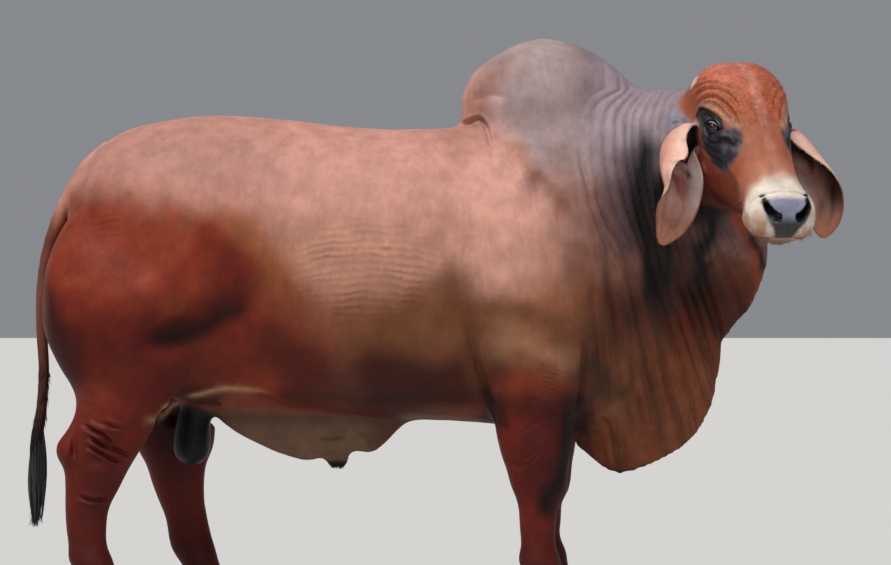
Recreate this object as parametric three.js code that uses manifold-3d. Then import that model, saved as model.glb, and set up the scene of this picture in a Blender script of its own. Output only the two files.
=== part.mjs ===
// A red Brahman bull, life size, standing side-on with its head turned to its right.
//
// The animal faces +X, its right side is -Y and the ground is Z = 0. Sizes are in millimetres.
// The body is built whole from lofts through named stations and then parted into the pieces
// that a person would name, with a gap of PART_GAP between neighbours.
import * as THREE from "three";
import { LoftGeometry } from "three/addons/geometries/LoftGeometry.js";
import { mergeVertices } from "three/addons/utils/BufferGeometryUtils.js";
import Module from "manifold-3d";

const wasm = await Module();
wasm.setup();

const PART_GAP = 0.35;
const WITHERS_HEIGHT = 1488;
const GROUND = 0;
const CORONET_HEIGHT = 88;
const EYEBALL_RADIUS = 23;
const LID_THICKNESS = 5;

// The middle of the animal's floor plan in the frame that its stations are written in.
const PLAN_MIDDLE = { x: -3, y: -138 };

const { degToRad, lerp } = THREE.MathUtils;
const point = (x, y, z) => new THREE.Vector3(x, y, z);

// Interpolation

// The values of a table at t, by a smooth cubic through its rows; the first column is t.
function rowAt(rows, t) {
  let i = 0;
  while (i < rows.length - 2 && t > rows[i + 1][0]) i += 1;
  const slope = (k, column) => {
    const before = rows[Math.max(k - 1, 0)];
    const after = rows[Math.min(k + 1, rows.length - 1)];
    return (after[column] - before[column]) / (after[0] - before[0]);
  };
  const [a, b] = [rows[i], rows[i + 1]];
  const span = b[0] - a[0];
  const u = THREE.MathUtils.clamp((t - a[0]) / span, 0, 1);
  return a.map((value, column) => {
    const start = (2 * u ** 3 - 3 * u ** 2 + 1) * value;
    const leave = (u ** 3 - 2 * u ** 2 + u) * span * slope(i, column);
    const end = (3 * u ** 2 - 2 * u ** 3) * b[column];
    const arrive = (u ** 3 - u ** 2) * span * slope(i + 1, column);
    return start + leave + end + arrive;
  });
}

// Evenly spaced parameters from the first row's to the last row's.
function steps(rows, count) {
  const first = rows[0][0];
  const last = rows[rows.length - 1][0];
  return Array.from({ length: count }, (_, i) => lerp(first, last, i / (count - 1)));
}

// Sections and solids

// A ring of points on a superellipse whose upper and lower halves may differ in height.
function oval({ centre, across, up, half, above, below, power = 2, count = 24 }) {
  const ring = [];
  for (let i = 0; i < count; i += 1) {
    const angle = (2 * Math.PI * (i + 0.5)) / count;
    const [c, s] = [Math.cos(angle), Math.sin(angle)];
    const side = Math.sign(c) * Math.abs(c) ** (2 / power) * half;
    const rise = Math.sign(s) * Math.abs(s) ** (2 / power) * (s > 0 ? above : below);
    ring.push(centre.clone().addScaledVector(across, side).addScaledVector(up, rise));
  }
  return ring;
}

const middleOf = (ring) =>
  ring.reduce((sum, p) => sum.add(p), point(0, 0, 0)).divideScalar(ring.length);

// Rings that shrink over a dome of the given length, past the last of the sections.
function dome(sections, length) {
  const last = sections[sections.length - 1];
  const middle = middleOf(last);
  const outward = middle.clone().sub(middleOf(sections[sections.length - 2])).normalize();
  return [32, 58, 78].map((degrees) => {
    const angle = degToRad(degrees);
    return last.map((p) =>
      p
        .clone()
        .sub(middle)
        .multiplyScalar(Math.cos(angle))
        .add(middle)
        .addScaledVector(outward, Math.sin(angle) * length),
    );
  });
}

// The sections with domes of the given lengths on their two ends.
function domed(sections, startLength, endLength) {
  const start = startLength ? dome(sections.slice().reverse(), startLength).reverse() : [];
  const end = endLength ? dome(sections, endLength) : [];
  return [...start, ...sections, ...end];
}

// A closed geometry as a solid.
function solidOf(geometry) {
  const bare = geometry.index ? geometry.toNonIndexed() : geometry.clone();
  bare.deleteAttribute("normal");
  bare.deleteAttribute("uv");
  const merged = mergeVertices(bare, 1e-3);
  const vertProperties = merged.attributes.position.array;
  const triVerts = new Uint32Array(merged.index.array);
  return new wasm.Manifold(new wasm.Mesh({ numProp: 3, vertProperties, triVerts }));
}

// A solid through rings of points; rings that run the wrong way round are turned about.
function lofted(sections) {
  const middle = middleOf(sections[0]);
  const spin = point(0, 0, 0);
  sections[0].forEach((p, i, ring) => {
    const next = ring[(i + 1) % ring.length];
    spin.add(p.clone().sub(middle).cross(next.clone().sub(middle)));
  });
  const forward = spin.dot(middleOf(sections[1]).sub(middle)) > 0;
  const rings = forward ? sections : sections.map((ring) => ring.slice().reverse());
  return solidOf(new LoftGeometry(rings, { capStart: true, capEnd: true }));
}

const joined = (solids) => solids.reduce((sum, next) => sum.add(next));

// A rectangular block, turned by a matrix and moved to its middle.
function block(size, middle, turn = new THREE.Matrix4()) {
  const geometry = new THREE.BoxGeometry(...size)
    .applyMatrix4(turn)
    .translate(middle.x, middle.y, middle.z);
  return solidOf(geometry);
}

// A solid sphere stretched along the three axes of a matrix.
function bead(radii, middle, turn = new THREE.Matrix4(), segments = 16) {
  const geometry = new THREE.SphereGeometry(1, segments, Math.round(segments / 2))
    .scale(...radii)
    .applyMatrix4(turn)
    .translate(middle.x, middle.y, middle.z);
  return solidOf(geometry);
}

// The piece of a solid with the most volume, and none of its loose scraps.
function largest(solid) {
  const pieces = solid.decompose();
  return pieces.reduce((best, next) => (next.volume() > best.volume() ? next : best));
}

// Splits a body by one or more turned boxes into what is inside all of them and what is left,
// with the part gap between the two.
function parted(whole, ...boxes) {
  const region = (extra) =>
    boxes
      .map(({ size, middle, turn }) => block(size.map((side) => side + 2 * extra), middle, turn))
      .reduce((common, next) => common.intersect(next));
  return [largest(whole.intersect(region(0))), largest(whole.subtract(region(PART_GAP)))];
}

// A curtain of PART_GAP thickness, as wide as named, through points of a line in the XZ plane.
function curtain(line, width, y = 0) {
  const sections = line.map(([x, z], i) => {
    const [before, after] = [line[Math.max(i - 1, 0)], line[Math.min(i + 1, line.length - 1)]];
    const along = point(after[0] - before[0], 0, after[1] - before[1]).normalize();
    const away = point(along.z, 0, -along.x).multiplyScalar(PART_GAP / 2);
    const [near, far] = [y - width / 2, y + width / 2];
    return [
      point(x, near, z).add(away),
      point(x, far, z).add(away),
      point(x, far, z).sub(away),
      point(x, near, z).sub(away),
    ];
  });
  return lofted(sections);
}

// Cuts a body through into the piece that holds the seed point and the other piece.
function split(whole, cutter, seed) {
  const pieces = whole.subtract(cutter).decompose();
  const mark = bead([1.5, 1.5, 1.5], seed, undefined, 8);
  const holds = (piece) => piece.intersect(mark).volume() > 0;
  return [true, false].map((wanted) =>
    largest(joined(pieces.filter((piece) => holds(piece) === wanted))),
  );
}

// Trunk

// Stations along X: top line, widest height, belly line, half width, squareness of the section.
const TORSO = [
  [-1092, 1318, 1130, 950, 160, 2.0],
  [-1035, 1402, 1140, 830, 236, 2.1],
  [-960, 1464, 1150, 740, 282, 2.2],
  [-860, 1500, 1150, 680, 308, 2.25],
  [-700, 1524, 1120, 650, 328, 2.3],
  [-560, 1523, 1080, 640, 335, 2.3],
  [-400, 1510, 1040, 625, 352, 2.3],
  [-240, 1489, 1010, 610, 366, 2.3],
  [-80, 1486, 990, 598, 370, 2.3],
  [80, WITHERS_HEIGHT, 980, 588, 362, 2.25],
  [240, 1500, 970, 578, 345, 2.2],
  [390, 1530, 960, 566, 322, 2.15],
  [520, 1560, 960, 585, 280, 2.1],
  [620, 1560, 980, 680, 215, 2.05],
  [690, 1500, 1020, 800, 150, 2.0],
];

function trunk() {
  const sections = steps(TORSO, 25).map((x) => {
    const [, top, widest, bottom, half, power] = rowAt(TORSO, x);
    return oval({
      centre: point(x, 0, widest),
      across: point(0, 1, 0),
      up: point(0, 0, 1),
      half,
      above: top - widest,
      below: widest - bottom,
      power,
      count: 24,
    });
  });
  return lofted(domed(sections, 24, 60));
}

// Stations along X: crest of the hump, its sunken base and its half width.
const HUMP = [
  [94, 1600, 1440, 72],
  [115, 1646, 1400, 100],
  [150, 1682, 1380, 119],
  [200, 1715, 1370, 135],
  [260, 1744, 1360, 147],
  [330, 1760, 1350, 152],
  [400, 1750, 1350, 150],
  [470, 1724, 1360, 142],
  [540, 1682, 1380, 128],
  [590, 1640, 1400, 110],
  [640, 1588, 1430, 85],
];

function hump() {
  const sections = steps(HUMP, 13).map((x) => {
    const [, crest, base, half] = rowAt(HUMP, x);
    const middle = (crest + base) / 2;
    return oval({
      centre: point(x, 0, middle),
      across: point(0, 1, 0),
      up: point(0, 0, 1),
      half,
      above: crest - middle,
      below: middle - base,
      power: 2.2,
      count: 18,
    });
  });
  return lofted(domed(sections, 10, 20));
}

// Stations from the shoulder to the poll: X, Y, crest, throat line and half width.
const NECK = [
  [0, 380, 0, 1530, 700, 262],
  [1, 500, -5, 1586, 700, 252],
  [2, 590, -20, 1602, 780, 230],
  [3, 670, -48, 1600, 885, 196],
  [4, 745, -92, 1604, 985, 170],
  [5, 810, -148, 1612, 1060, 138],
  [6, 862, -205, 1596, 1120, 112],
  [7, 890, -245, 1555, 1190, 82],
];

function neck() {
  const sections = steps(NECK, 13).map((t) => {
    const [, x, y, top, bottom, half] = rowAt(NECK, t);
    const ahead = rowAt(NECK, Math.min(t + 0.05, 7));
    const behind = rowAt(NECK, Math.max(t - 0.05, 0));
    const along = point(ahead[1] - behind[1], ahead[2] - behind[2], 0).normalize();
    const middle = (top + bottom) / 2;
    return oval({
      centre: point(x, y, middle),
      across: point(-along.y, along.x, 0),
      up: point(0, 0, 1),
      half,
      above: top - middle,
      below: middle - bottom,
      power: 2.2,
      count: 24,
    });
  });
  return lofted(domed(sections, 0, 30));
}

// Stations of the hanging skin, from between the forelegs to under the jaw:
// its free edge X, Y, Z, its root inside the body X, Y, Z, and half thickness at root and edge.
const DEWLAP = [
  [0, 448, 0, 505, 400, 0, 717, 90, 30],
  [1, 485, 0, 473, 433, 0, 808, 110, 30],
  [2, 525, 0, 442, 479, 0, 869, 120, 30],
  [3, 576, 0, 429, 509, 0, 930, 125, 30],
  [4, 647, 0, 448, 546, 0, 991, 125, 30],
  [5, 714, 0, 480, 576, 0, 1052, 120, 30],
  [6, 778, 0, 522, 607, 0, 1098, 115, 30],
  [7, 824, 0, 580, 637, -5, 1144, 110, 30],
  [8, 854, 0, 650, 668, -10, 1174, 105, 30],
  [9, 872, -5, 732, 698, -20, 1199, 100, 30],
  [10, 882, -12, 808, 729, -40, 1220, 95, 30],
  [11, 900, -25, 858, 760, -65, 1235, 92, 30],
  [12, 942, -50, 905, 790, -95, 1250, 90, 30],
  [13, 974, -80, 955, 820, -130, 1262, 90, 32],
  [14, 994, -115, 1010, 845, -165, 1275, 88, 34],
  [15, 1006, -160, 1070, 870, -205, 1290, 84, 38],
  [16, 1004, -210, 1130, 892, -245, 1310, 78, 42],
];

function dewlap() {
  const count = 16;
  const sections = steps(DEWLAP, 21).map((t) => {
    const row = rowAt(DEWLAP, t);
    const edge = point(row[1], row[2], row[3]);
    const root = point(row[4], row[5], row[6]);
    const middle = edge.clone().add(root).multiplyScalar(0.5);
    const reach = edge.clone().sub(root).multiplyScalar(0.5);
    const turn = -row[2] / 420;
    const across = point(Math.sin(turn), Math.cos(turn), 0);
    const ring = [];
    for (let i = 0; i < count; i += 1) {
      const angle = (2 * Math.PI * (i + 0.5)) / count;
      const along = Math.cos(angle);
      const half = lerp(row[7], row[8], (along + 1) / 2);
      ring.push(
        middle
          .clone()
          .addScaledVector(reach, Math.sign(along) * Math.abs(along) ** 0.8)
          .addScaledVector(across, Math.sin(angle) * half),
      );
    }
    return ring;
  });
  return lofted(domed(sections, 20, 20));
}

// Stations along X under the belly: top inside the body, free lower edge and half thickness.
const SHEATH = [
  [-650, 690, 590, 50],
  [-600, 700, 552, 58],
  [-506, 700, 506, 60],
  [-440, 700, 480, 58],
  [-385, 700, 469, 54],
  [-335, 700, 477, 50],
  [-290, 700, 486, 48],
  [-240, 700, 500, 48],
  [-190, 700, 494, 48],
  [-143, 700, 523, 50],
  [-105, 690, 562, 50],
  [-70, 680, 592, 44],
];

function sheath() {
  const sections = steps(SHEATH, 15).map((x) => {
    const [, top, bottom, half] = rowAt(SHEATH, x);
    const middle = (top + bottom) / 2;
    return oval({
      centre: point(x, 0, middle),
      across: point(0, 1, 0),
      up: point(0, 0, 1),
      half,
      above: top - middle,
      below: middle - bottom,
      count: 14,
    });
  });
  const opening = bead([27, 26, 38], point(-292, 0, 484), undefined, 12);
  return lofted(domed(sections, 12, 12)).add(opening);
}

// Rings down the scrotum: height, middle X, half length and half width.
const SCROTUM = [
  [466, -735, 30, 36],
  [478, -735, 48, 56],
  [510, -735, 58, 68],
  [550, -733, 56, 64],
  [590, -730, 44, 50],
  [640, -725, 38, 42],
  [700, -720, 40, 44],
];

function scrotum() {
  const sections = steps(SCROTUM, 10).map((z) => {
    const [, x, half, wide] = rowAt(SCROTUM, z);
    return oval({
      centre: point(x, 0, z),
      across: point(1, 0, 0),
      up: point(0, 1, 0),
      half,
      above: wide,
      below: wide,
      count: 14,
    });
  });
  return lofted(sections);
}

// Legs

// Stations down each leg: height, middle X, middle Y for the right side, half length, half width.
const HIND_RIGHT = [
  [88, -985, 222, 66, 62],
  [130, -1003, 220, 60, 54],
  [185, -1024, 218, 67, 58],
  [225, -1032, 218, 59, 49],
  [290, -1037, 217, 62, 49],
  [345, -1034, 216, 69, 53],
  [400, -1021, 214, 83, 61],
  [450, -1010, 212, 97, 71],
  [505, -1001, 210, 124, 80],
  [560, -975, 208, 128, 86],
  [620, -941, 206, 134, 98],
  [680, -926, 204, 150, 112],
  [760, -915, 202, 205, 127],
  [860, -912, 198, 254, 137],
  [950, -888, 192, 286, 143],
  [1080, -898, 176, 258, 130],
  [1200, -905, 150, 200, 112],
  [1300, -900, 120, 130, 85],
];
const HIND_LEFT = [
  [88, -700, 222, 66, 62],
  [130, -718, 220, 60, 54],
  [185, -744, 218, 70, 58],
  [225, -756, 218, 68, 50],
  [285, -767, 217, 66, 50],
  [345, -782, 216, 74, 54],
  [400, -792, 214, 84, 62],
  [450, -797, 212, 97, 71],
  [505, -800, 210, 122, 80],
  [560, -800, 208, 126, 86],
  [620, -805, 206, 134, 98],
  [680, -820, 204, 150, 112],
  [760, -845, 202, 200, 127],
  [860, -870, 198, 246, 137],
  [950, -872, 192, 280, 143],
  [1080, -890, 176, 256, 130],
  [1200, -902, 150, 200, 112],
  [1300, -900, 120, 130, 85],
];
const FORE = [
  [88, 350, 216, 66, 63],
  [130, 336, 216, 59, 55],
  [180, 322, 216, 66, 59],
  [230, 317, 216, 54, 48],
  [290, 316, 216, 56, 48],
  [335, 316, 216, 59, 52],
  [368, 322, 216, 73, 60],
  [404, 318, 216, 85, 66],
  [452, 313, 216, 94, 70],
  [520, 308, 216, 110, 78],
  [580, 307, 215, 120, 86],
  [640, 308, 214, 128, 95],
  [720, 302, 212, 140, 108],
  [830, 300, 208, 176, 122],
  [960, 318, 200, 205, 130],
  [1100, 345, 185, 190, 118],
  [1220, 365, 165, 150, 95],
];

function leg(rows, side, shift) {
  const sections = steps(rows, 17).map((z) => {
    const [, x, y, half, wide] = rowAt(rows, z);
    return oval({
      centre: point(x + shift, side * y, z),
      across: point(1, 0, 0),
      up: point(0, 1, 0),
      half,
      above: wide,
      below: wide,
      power: 2.15,
      count: 14,
    });
  });
  return lofted(domed(sections, 0, 50));
}

// A claw is as long, wide and deep in the toe as named and stands on its own flat sole.
const CLAW = { length: 150, width: 60, cleft: 5, toeLean: 42, heelLean: 10, ahead: 14 };

function claw(x, y, side) {
  const levels = [0, 0.45, 1];
  const sections = levels.map((share) => {
    const front = x + CLAW.ahead + CLAW.length / 2 - share * CLAW.toeLean;
    const back = x + CLAW.ahead - CLAW.length / 2 + share * CLAW.heelLean;
    const half = (CLAW.width / 2) * (1 - 0.05 * share);
    return oval({
      centre: point(
        (front + back) / 2,
        y + side * (CLAW.cleft / 2 + CLAW.width / 2),
        GROUND + share * (CORONET_HEIGHT - PART_GAP),
      ),
      across: point(1, 0, 0),
      up: point(0, 1, 0),
      half: (front - back) / 2,
      above: half,
      below: half,
      power: 2.5,
      count: 14,
    });
  });
  return lofted(sections);
}

// The small horn dewclaws behind a fetlock, as beads sunk in its skin.
function dewclaws(x, y) {
  return [-1, 1].map((side) =>
    bead([15, 13, 22], point(x - 62, y + side * 30, 168), undefined, 10),
  );
}

// Tail

// Stations down the tail: height, X and radius.
const TAIL = [
  [432, -1215, 8],
  [470, -1213, 17],
  [510, -1211, 20],
  [560, -1205, 19],
  [640, -1193, 17],
  [750, -1187, 17],
  [870, -1193, 18],
  [990, -1191, 20],
  [1110, -1172, 22],
  [1220, -1132, 27],
  [1310, -1082, 32],
  [1372, -1035, 36],
  [1414, -980, 38],
];
const BRUSH_TOP = 556;

function tail(extra = 0) {
  const sections = steps(TAIL, 24).map((z) => {
    const [, x, radius] = rowAt(TAIL, z);
    const ahead = rowAt(TAIL, Math.min(z + 10, 1414));
    const behind = rowAt(TAIL, Math.max(z - 10, 432));
    const along = point(ahead[1] - behind[1], 0, ahead[0] - behind[0]).normalize();
    return oval({
      centre: point(x, 0, z),
      across: point(along.z, 0, -along.x),
      up: point(0, 1, 0),
      half: radius + extra,
      above: radius + extra,
      below: radius + extra,
      count: 12,
    });
  });
  return lofted(domed(sections, 6 + extra, 20 + extra));
}

// Flat tapered locks of the tail's brush, rooted in a ring round its core.
const BRUSH = { locks: 14, root: 560, tip: 276, spread: 31, width: 31, thick: 10 };

function brushLocks() {
  return Array.from({ length: BRUSH.locks }, (_, i) => {
    const turn = (2 * Math.PI * i) / BRUSH.locks;
    const inner = i % 2;
    const tip = BRUSH.tip + 34 * inner + 14 * Math.sin(5 * i);
    const root = BRUSH.root - 70 * inner;
    const outward = point(Math.cos(turn), Math.sin(turn), 0);
    const across = point(-Math.sin(turn), Math.cos(turn), 0);
    const sections = [0, 0.25, 0.55, 0.82, 1].map((share) => {
      const z = lerp(root, tip, share);
      const away = lerp(13, BRUSH.spread - 9 * inner, Math.sin((share * Math.PI) / 1.7));
      const width = BRUSH.width * (0.55 + 0.6 * share - 1.02 * share ** 3);
      const x = rowAt(TAIL, Math.max(z, 440))[1];
      return oval({
        centre: point(x, 0, z).addScaledVector(outward, away - 8 * share ** 3),
        across,
        up: outward,
        half: width / 2 + 1,
        above: BRUSH.thick * (1 - 0.75 * share),
        below: BRUSH.thick * (1 - 0.75 * share),
        count: 6,
      });
    });
    return lofted(sections);
  });
}

// Head

// The head's own frame: its origin is the top of the poll, +X runs down the face to the muzzle,
// +Y to the animal's left and +Z out of the forehead.
const HEAD = { x: 905, y: -235, z: 1622, yaw: 72.5, pitch: 38, roll: 1 };

const headFrame = (() => {
  const [yaw, pitch, roll] = [HEAD.yaw, HEAD.pitch, HEAD.roll].map(degToRad);
  const face = point(
    Math.cos(yaw) * Math.cos(pitch),
    -Math.sin(yaw) * Math.cos(pitch),
    -Math.sin(pitch),
  );
  const brow = point(
    Math.cos(yaw) * Math.sin(pitch),
    -Math.sin(yaw) * Math.sin(pitch),
    Math.cos(pitch),
  );
  const level = point(Math.sin(yaw), Math.cos(yaw), 0);
  const out = brow
    .clone()
    .multiplyScalar(Math.cos(roll))
    .addScaledVector(level, -Math.sin(roll));
  const left = level
    .clone()
    .multiplyScalar(Math.cos(roll))
    .addScaledVector(brow, Math.sin(roll));
  return new THREE.Matrix4().makeBasis(face, left, out).setPosition(HEAD.x, HEAD.y, HEAD.z);
})();

const onHead = (along, side, out) => point(along, side, out).applyMatrix4(headFrame);
const headTurn = new THREE.Matrix4().extractRotation(headFrame);

// Stations down the face: forehead line, widest level, jaw line, half width and squareness.
const SKULL = [
  [-84, -30, -130, -215, 92, 2.4],
  [-50, 26, -125, -262, 126, 2.7],
  [0, 52, -110, -296, 142, 2.9],
  [50, 62, -100, -318, 145, 2.95],
  [100, 61, -96, -325, 142, 2.9],
  [150, 51, -96, -322, 134, 2.7],
  [200, 38, -98, -310, 127, 2.5],
  [250, 19, -102, -292, 116, 2.4],
  [310, 0, -108, -266, 103, 2.35],
  [370, -14, -112, -241, 94, 2.35],
  [430, -24, -114, -219, 90, 2.4],
  [480, -32, -114, -206, 96, 2.5],
  [525, -41, -114, -197, 104, 2.6],
  [556, -56, -116, -186, 102, 2.6],
  [578, -80, -120, -170, 86, 2.5],
];

function skull() {
  const sections = steps(SKULL, 18).map((along) => {
    const [, top, widest, bottom, half, power] = rowAt(SKULL, along);
    return oval({
      centre: onHead(along, 0, widest),
      across: point(0, 1, 0).transformDirection(headTurn),
      up: point(0, 0, 1).transformDirection(headTurn),
      half,
      above: top - widest,
      below: widest - bottom,
      power,
      count: 20,
    });
  });
  return lofted(domed(sections, 22, 14));
}

// How far the head's skin lies from its middle plane at a place on its side.
function skinAt(along, out) {
  const [, top, widest, bottom, half, power] = rowAt(SKULL, along);
  const share = (out - widest) / (out > widest ? top - widest : bottom - widest);
  return half * Math.max(0, 1 - Math.abs(share) ** power) ** (1 / power);
}

// Eyes, one on each side of the head: middle and the way that the eyeball looks.
const EYE = { along: 180, side: 110, out: -50 };
const eyeMiddle = (side) => onHead(EYE.along, side * EYE.side, EYE.out);

function eyeTurn(side) {
  const gaze = point(0.3, side * 0.86, 0.36).normalize();
  const level = point(0.62, side * -0.51, 0.6).normalize();
  const lift = gaze.clone().cross(level).normalize();
  const flat = lift.clone().cross(gaze).normalize();
  return headTurn.clone().multiply(new THREE.Matrix4().makeBasis(flat, lift, gaze));
}

const eyeball = (side, extra = 0) =>
  bead(Array(3).fill(EYEBALL_RADIUS + extra), eyeMiddle(side), eyeTurn(side), 14);

// The lids are a shell over the eyeball with an almond-shaped slit cut through its front.
function lids(side) {
  const shell = bead(
    [EYEBALL_RADIUS + 9, EYEBALL_RADIUS + 7, EYEBALL_RADIUS + LID_THICKNESS],
    eyeMiddle(side),
    eyeTurn(side),
    12,
  );
  const front = point(0, 0, EYEBALL_RADIUS + 8).applyMatrix4(eyeTurn(side));
  const slit = bead([24, 12, 26], eyeMiddle(side).add(front), eyeTurn(side), 12);
  return { shell, slit };
}

// A fold of skin that arches over an eye at a distance: its middle swells out of the head's
// side and its ends run out into it.
function browFold(side, distance, thickness) {
  const sections = [];
  for (let step = 0; step <= 8; step += 1) {
    const share = step / 4 - 1;
    const angle = degToRad(128 + 78 * share);
    const place = (reach) => {
      const along = EYE.along + reach * Math.cos(angle);
      const out = EYE.out + reach * 0.82 * Math.sin(angle);
      return onHead(along, side * (skinAt(along, out) - 2), out);
    };
    const middle = place(distance);
    const across = place(distance + 4).sub(place(distance - 4)).normalize();
    const up = point(0, side, 0).transformDirection(headTurn);
    up.addScaledVector(across, -up.dot(across)).normalize();
    const swell = thickness * (1 - 0.8 * share ** 2);
    sections.push(
      oval({ centre: middle, across, up, half: swell, above: swell, below: swell, count: 8 }),
    );
  }
  return lofted(sections);
}

const brow = (side) => [browFold(side, 62, 13), browFold(side, 92, 8)];

// Nostrils: a raised rim on each side of the nose pad and the opening sunk in it.
const NOSTRIL = { along: 552, side: 50, out: -84 };

function nostrils() {
  const rims = [];
  const holes = [];
  for (const side of [-1, 1]) {
    const turn = headTurn.clone().multiply(new THREE.Matrix4().makeRotationZ(side * 0.7));
    const rim = onHead(NOSTRIL.along, side * NOSTRIL.side, NOSTRIL.out);
    rims.push(bead([30, 26, 24], rim, turn, 10));
    const hole = onHead(NOSTRIL.along + 24, side * (NOSTRIL.side + 5), NOSTRIL.out);
    holes.push(bead([26, 12, 14], hole, turn, 10));
  }
  return { rims, holes };
}

// The line of the mouth: a thin wedge-shaped groove round the muzzle, and the lips beside it.
const MOUTH = { out: -146, depth: 7, gape: 6 };

function mouth() {
  const groove = [];
  const count = 18;
  for (let i = 0; i <= count; i += 1) {
    const share = (2 * i) / count - 1;
    const along = lerp(592, 440, Math.abs(share) ** 2.4);
    const half = rowAt(SKULL, Math.min(along, 578))[4];
    const side = Math.sign(share) * Math.min(1, Math.abs(share) ** 0.9 * 1.3) * half * 0.93;
    const height = MOUTH.out + 14 * Math.abs(share) ** 3;
    const middle = onHead(along, side, height);
    const inward = onHead(480, 0, height).sub(middle).normalize();
    const up = point(0, 0, 1).transformDirection(headTurn);
    groove.push([
      middle.clone().addScaledVector(inward, -14).addScaledVector(up, MOUTH.gape),
      middle.clone().addScaledVector(inward, MOUTH.depth),
      middle.clone().addScaledVector(inward, -14).addScaledVector(up, -MOUTH.gape),
    ]);
  }
  return lofted(groove);
}

const lips = () => [
  bead([54, 62, 22], onHead(526, 0, -174), headTurn, 12),
  ...[-1, 1].map((side) => bead([54, 32, 36], onHead(514, side * 74, -134), headTurn, 10)),
];

// Ears

// Each ear is a cupped leaf: stations from root to tip give the middle line of its back (X, Y, Z),
// the way that the cup opens (azimuth from +X, rise), its width measured round the cup,
// how far the cup curls round in degrees, and its thickness.
const EAR_RIGHT = [
  [0, 776, -240, 1456, 8, 0, 120, 236, 13],
  [0.08, 722, -290, 1448, 6, 0, 186, 232, 11],
  [0.2, 682, -320, 1420, 8, 0, 250, 224, 9],
  [0.35, 678, -322, 1362, 22, 0, 262, 210, 8],
  [0.5, 712, -318, 1308, 54, 0, 212, 166, 8],
  [0.65, 721, -314, 1248, 78, 0, 158, 122, 7],
  [0.8, 706, -316, 1188, 84, 0, 110, 92, 7],
  [0.93, 687, -320, 1144, 84, 0, 52, 60, 6],
  [1, 682, -322, 1124, 84, 0, 14, 40, 4],
];
const EAR_LEFT = [
  [0, 1008, -142, 1490, 124, -40, 140, 240, 13],
  [0.08, 1062, -116, 1486, 124, -44, 176, 240, 11],
  [0.2, 1110, -98, 1450, 122, -46, 214, 226, 9],
  [0.35, 1150, -100, 1390, 120, -40, 224, 200, 8],
  [0.5, 1177, -106, 1324, 114, -22, 194, 156, 8],
  [0.65, 1186, -114, 1264, 108, -8, 158, 118, 7],
  [0.8, 1184, -124, 1208, 104, 0, 116, 92, 7],
  [0.93, 1178, -132, 1166, 100, 0, 56, 60, 6],
  [1, 1175, -136, 1148, 100, 0, 14, 40, 4],
];

// One station of an ear: the middle of its back, the ear's direction, the way that the cup
// opens, the way across it, the cup's radius, its curl in radians and its thickness.
function earStation(rows, t) {
  const [, x, y, z, azimuth, rise, width, curlDegrees, thick] = rowAt(rows, t);
  const [turn, tilt, curl] = [azimuth, rise, curlDegrees].map(degToRad);
  const ahead = rowAt(rows, Math.min(t + 0.03, 1));
  const behind = rowAt(rows, Math.max(t - 0.03, 0));
  const along = point(...[1, 2, 3].map((i) => ahead[i] - behind[i])).normalize();
  const wish = point(
    Math.cos(turn) * Math.cos(tilt),
    -Math.sin(turn) * Math.cos(tilt),
    Math.sin(tilt),
  );
  const open = wish.addScaledVector(along, -wish.dot(along)).normalize();
  const over = open.clone().cross(along).normalize();
  return { back: point(x, y, z), along, open, over, radius: width / curl, curl, thick };
}

function ear(rows) {
  const across = 9;
  const sections = steps(rows, 13).map((t) => {
    const { back, open, over, radius, curl, thick } = earStation(rows, t);
    const wall = (inset) =>
      Array.from({ length: across }, (_, i) => {
        const share = (2 * i) / (across - 1) - 1;
        const angle = (share * curl) / 2;
        const reach = radius - inset * thick * (1 - 0.55 * share ** 4);
        return back
          .clone()
          .addScaledVector(open, radius - reach * Math.cos(angle))
          .addScaledVector(over, reach * Math.sin(angle));
      });
    return [...wall(0), ...wall(1).reverse()];
  });
  return lofted(sections);
}

// The solid boss of gristle that carries an ear on the side of the head.
const EAR_BOSS = { along: 48, side: 112, out: -122 };

const earBoss = (side) =>
  bead([46, 40, 44], onHead(EAR_BOSS.along, side * EAR_BOSS.side, EAR_BOSS.out), headTurn, 12);

// Whole body

const headParts = (() => {
  const { rims, holes } = nostrils();
  const lidPairs = [-1, 1].map(lids);
  const grown = joined([
    skull(),
    ...[-1, 1].flatMap(brow),
    ...[-1, 1].map(earBoss),
    ...rims,
    ...lips(),
    ...lidPairs.map((pair) => pair.shell),
  ]);
  const cuts = joined([
    ...holes,
    mouth(),
    ...lidPairs.map((pair) => pair.slit),
    ...[-1, 1].map((side) => eyeball(side, PART_GAP)),
  ]);
  return { grown, cuts };
})();

const FEET = {
  foreleg_right: { rows: FORE, side: -1, shift: 0 },
  foreleg_left: { rows: FORE, side: 1, shift: 26 },
  hindleg_right: { rows: HIND_RIGHT, side: -1, shift: 0 },
  hindleg_left: { rows: HIND_LEFT, side: 1, shift: 0 },
};

const legSolids = Object.values(FEET).map(({ rows, side, shift }) => {
  const [, x, y] = rows[0];
  return joined([leg(rows, side, shift), ...dewclaws(x + shift, side * y)]);
});

let body = joined([
  trunk(),
  hump(),
  neck(),
  dewlap(),
  sheath(),
  scrotum(),
  ear(EAR_RIGHT),
  ear(EAR_LEFT),
  headParts.grown,
  ...legSolids,
]).subtract(headParts.cuts);
const nodes = new Map();

// Parting

// Takes a named piece off the body.
function takeOff(name, cutter, seed) {
  const [piece, rest] = split(body, cutter, seed);
  nodes.set(name, piece);
  body = rest;
}

// The tail sits in a groove of the rump; its brush of locks hangs from its lower end.
body = largest(body.subtract(tail(PART_GAP)));
{
  const hairy = joined([tail(), ...brushLocks()]);
  const below = { size: [400, 400, 600], middle: point(-1200, 0, BRUSH_TOP - 300) };
  const [brush, upper] = parted(hairy, below);
  nodes.set("tail", upper);
  nodes.set("tail_brush", brush);
}

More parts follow.
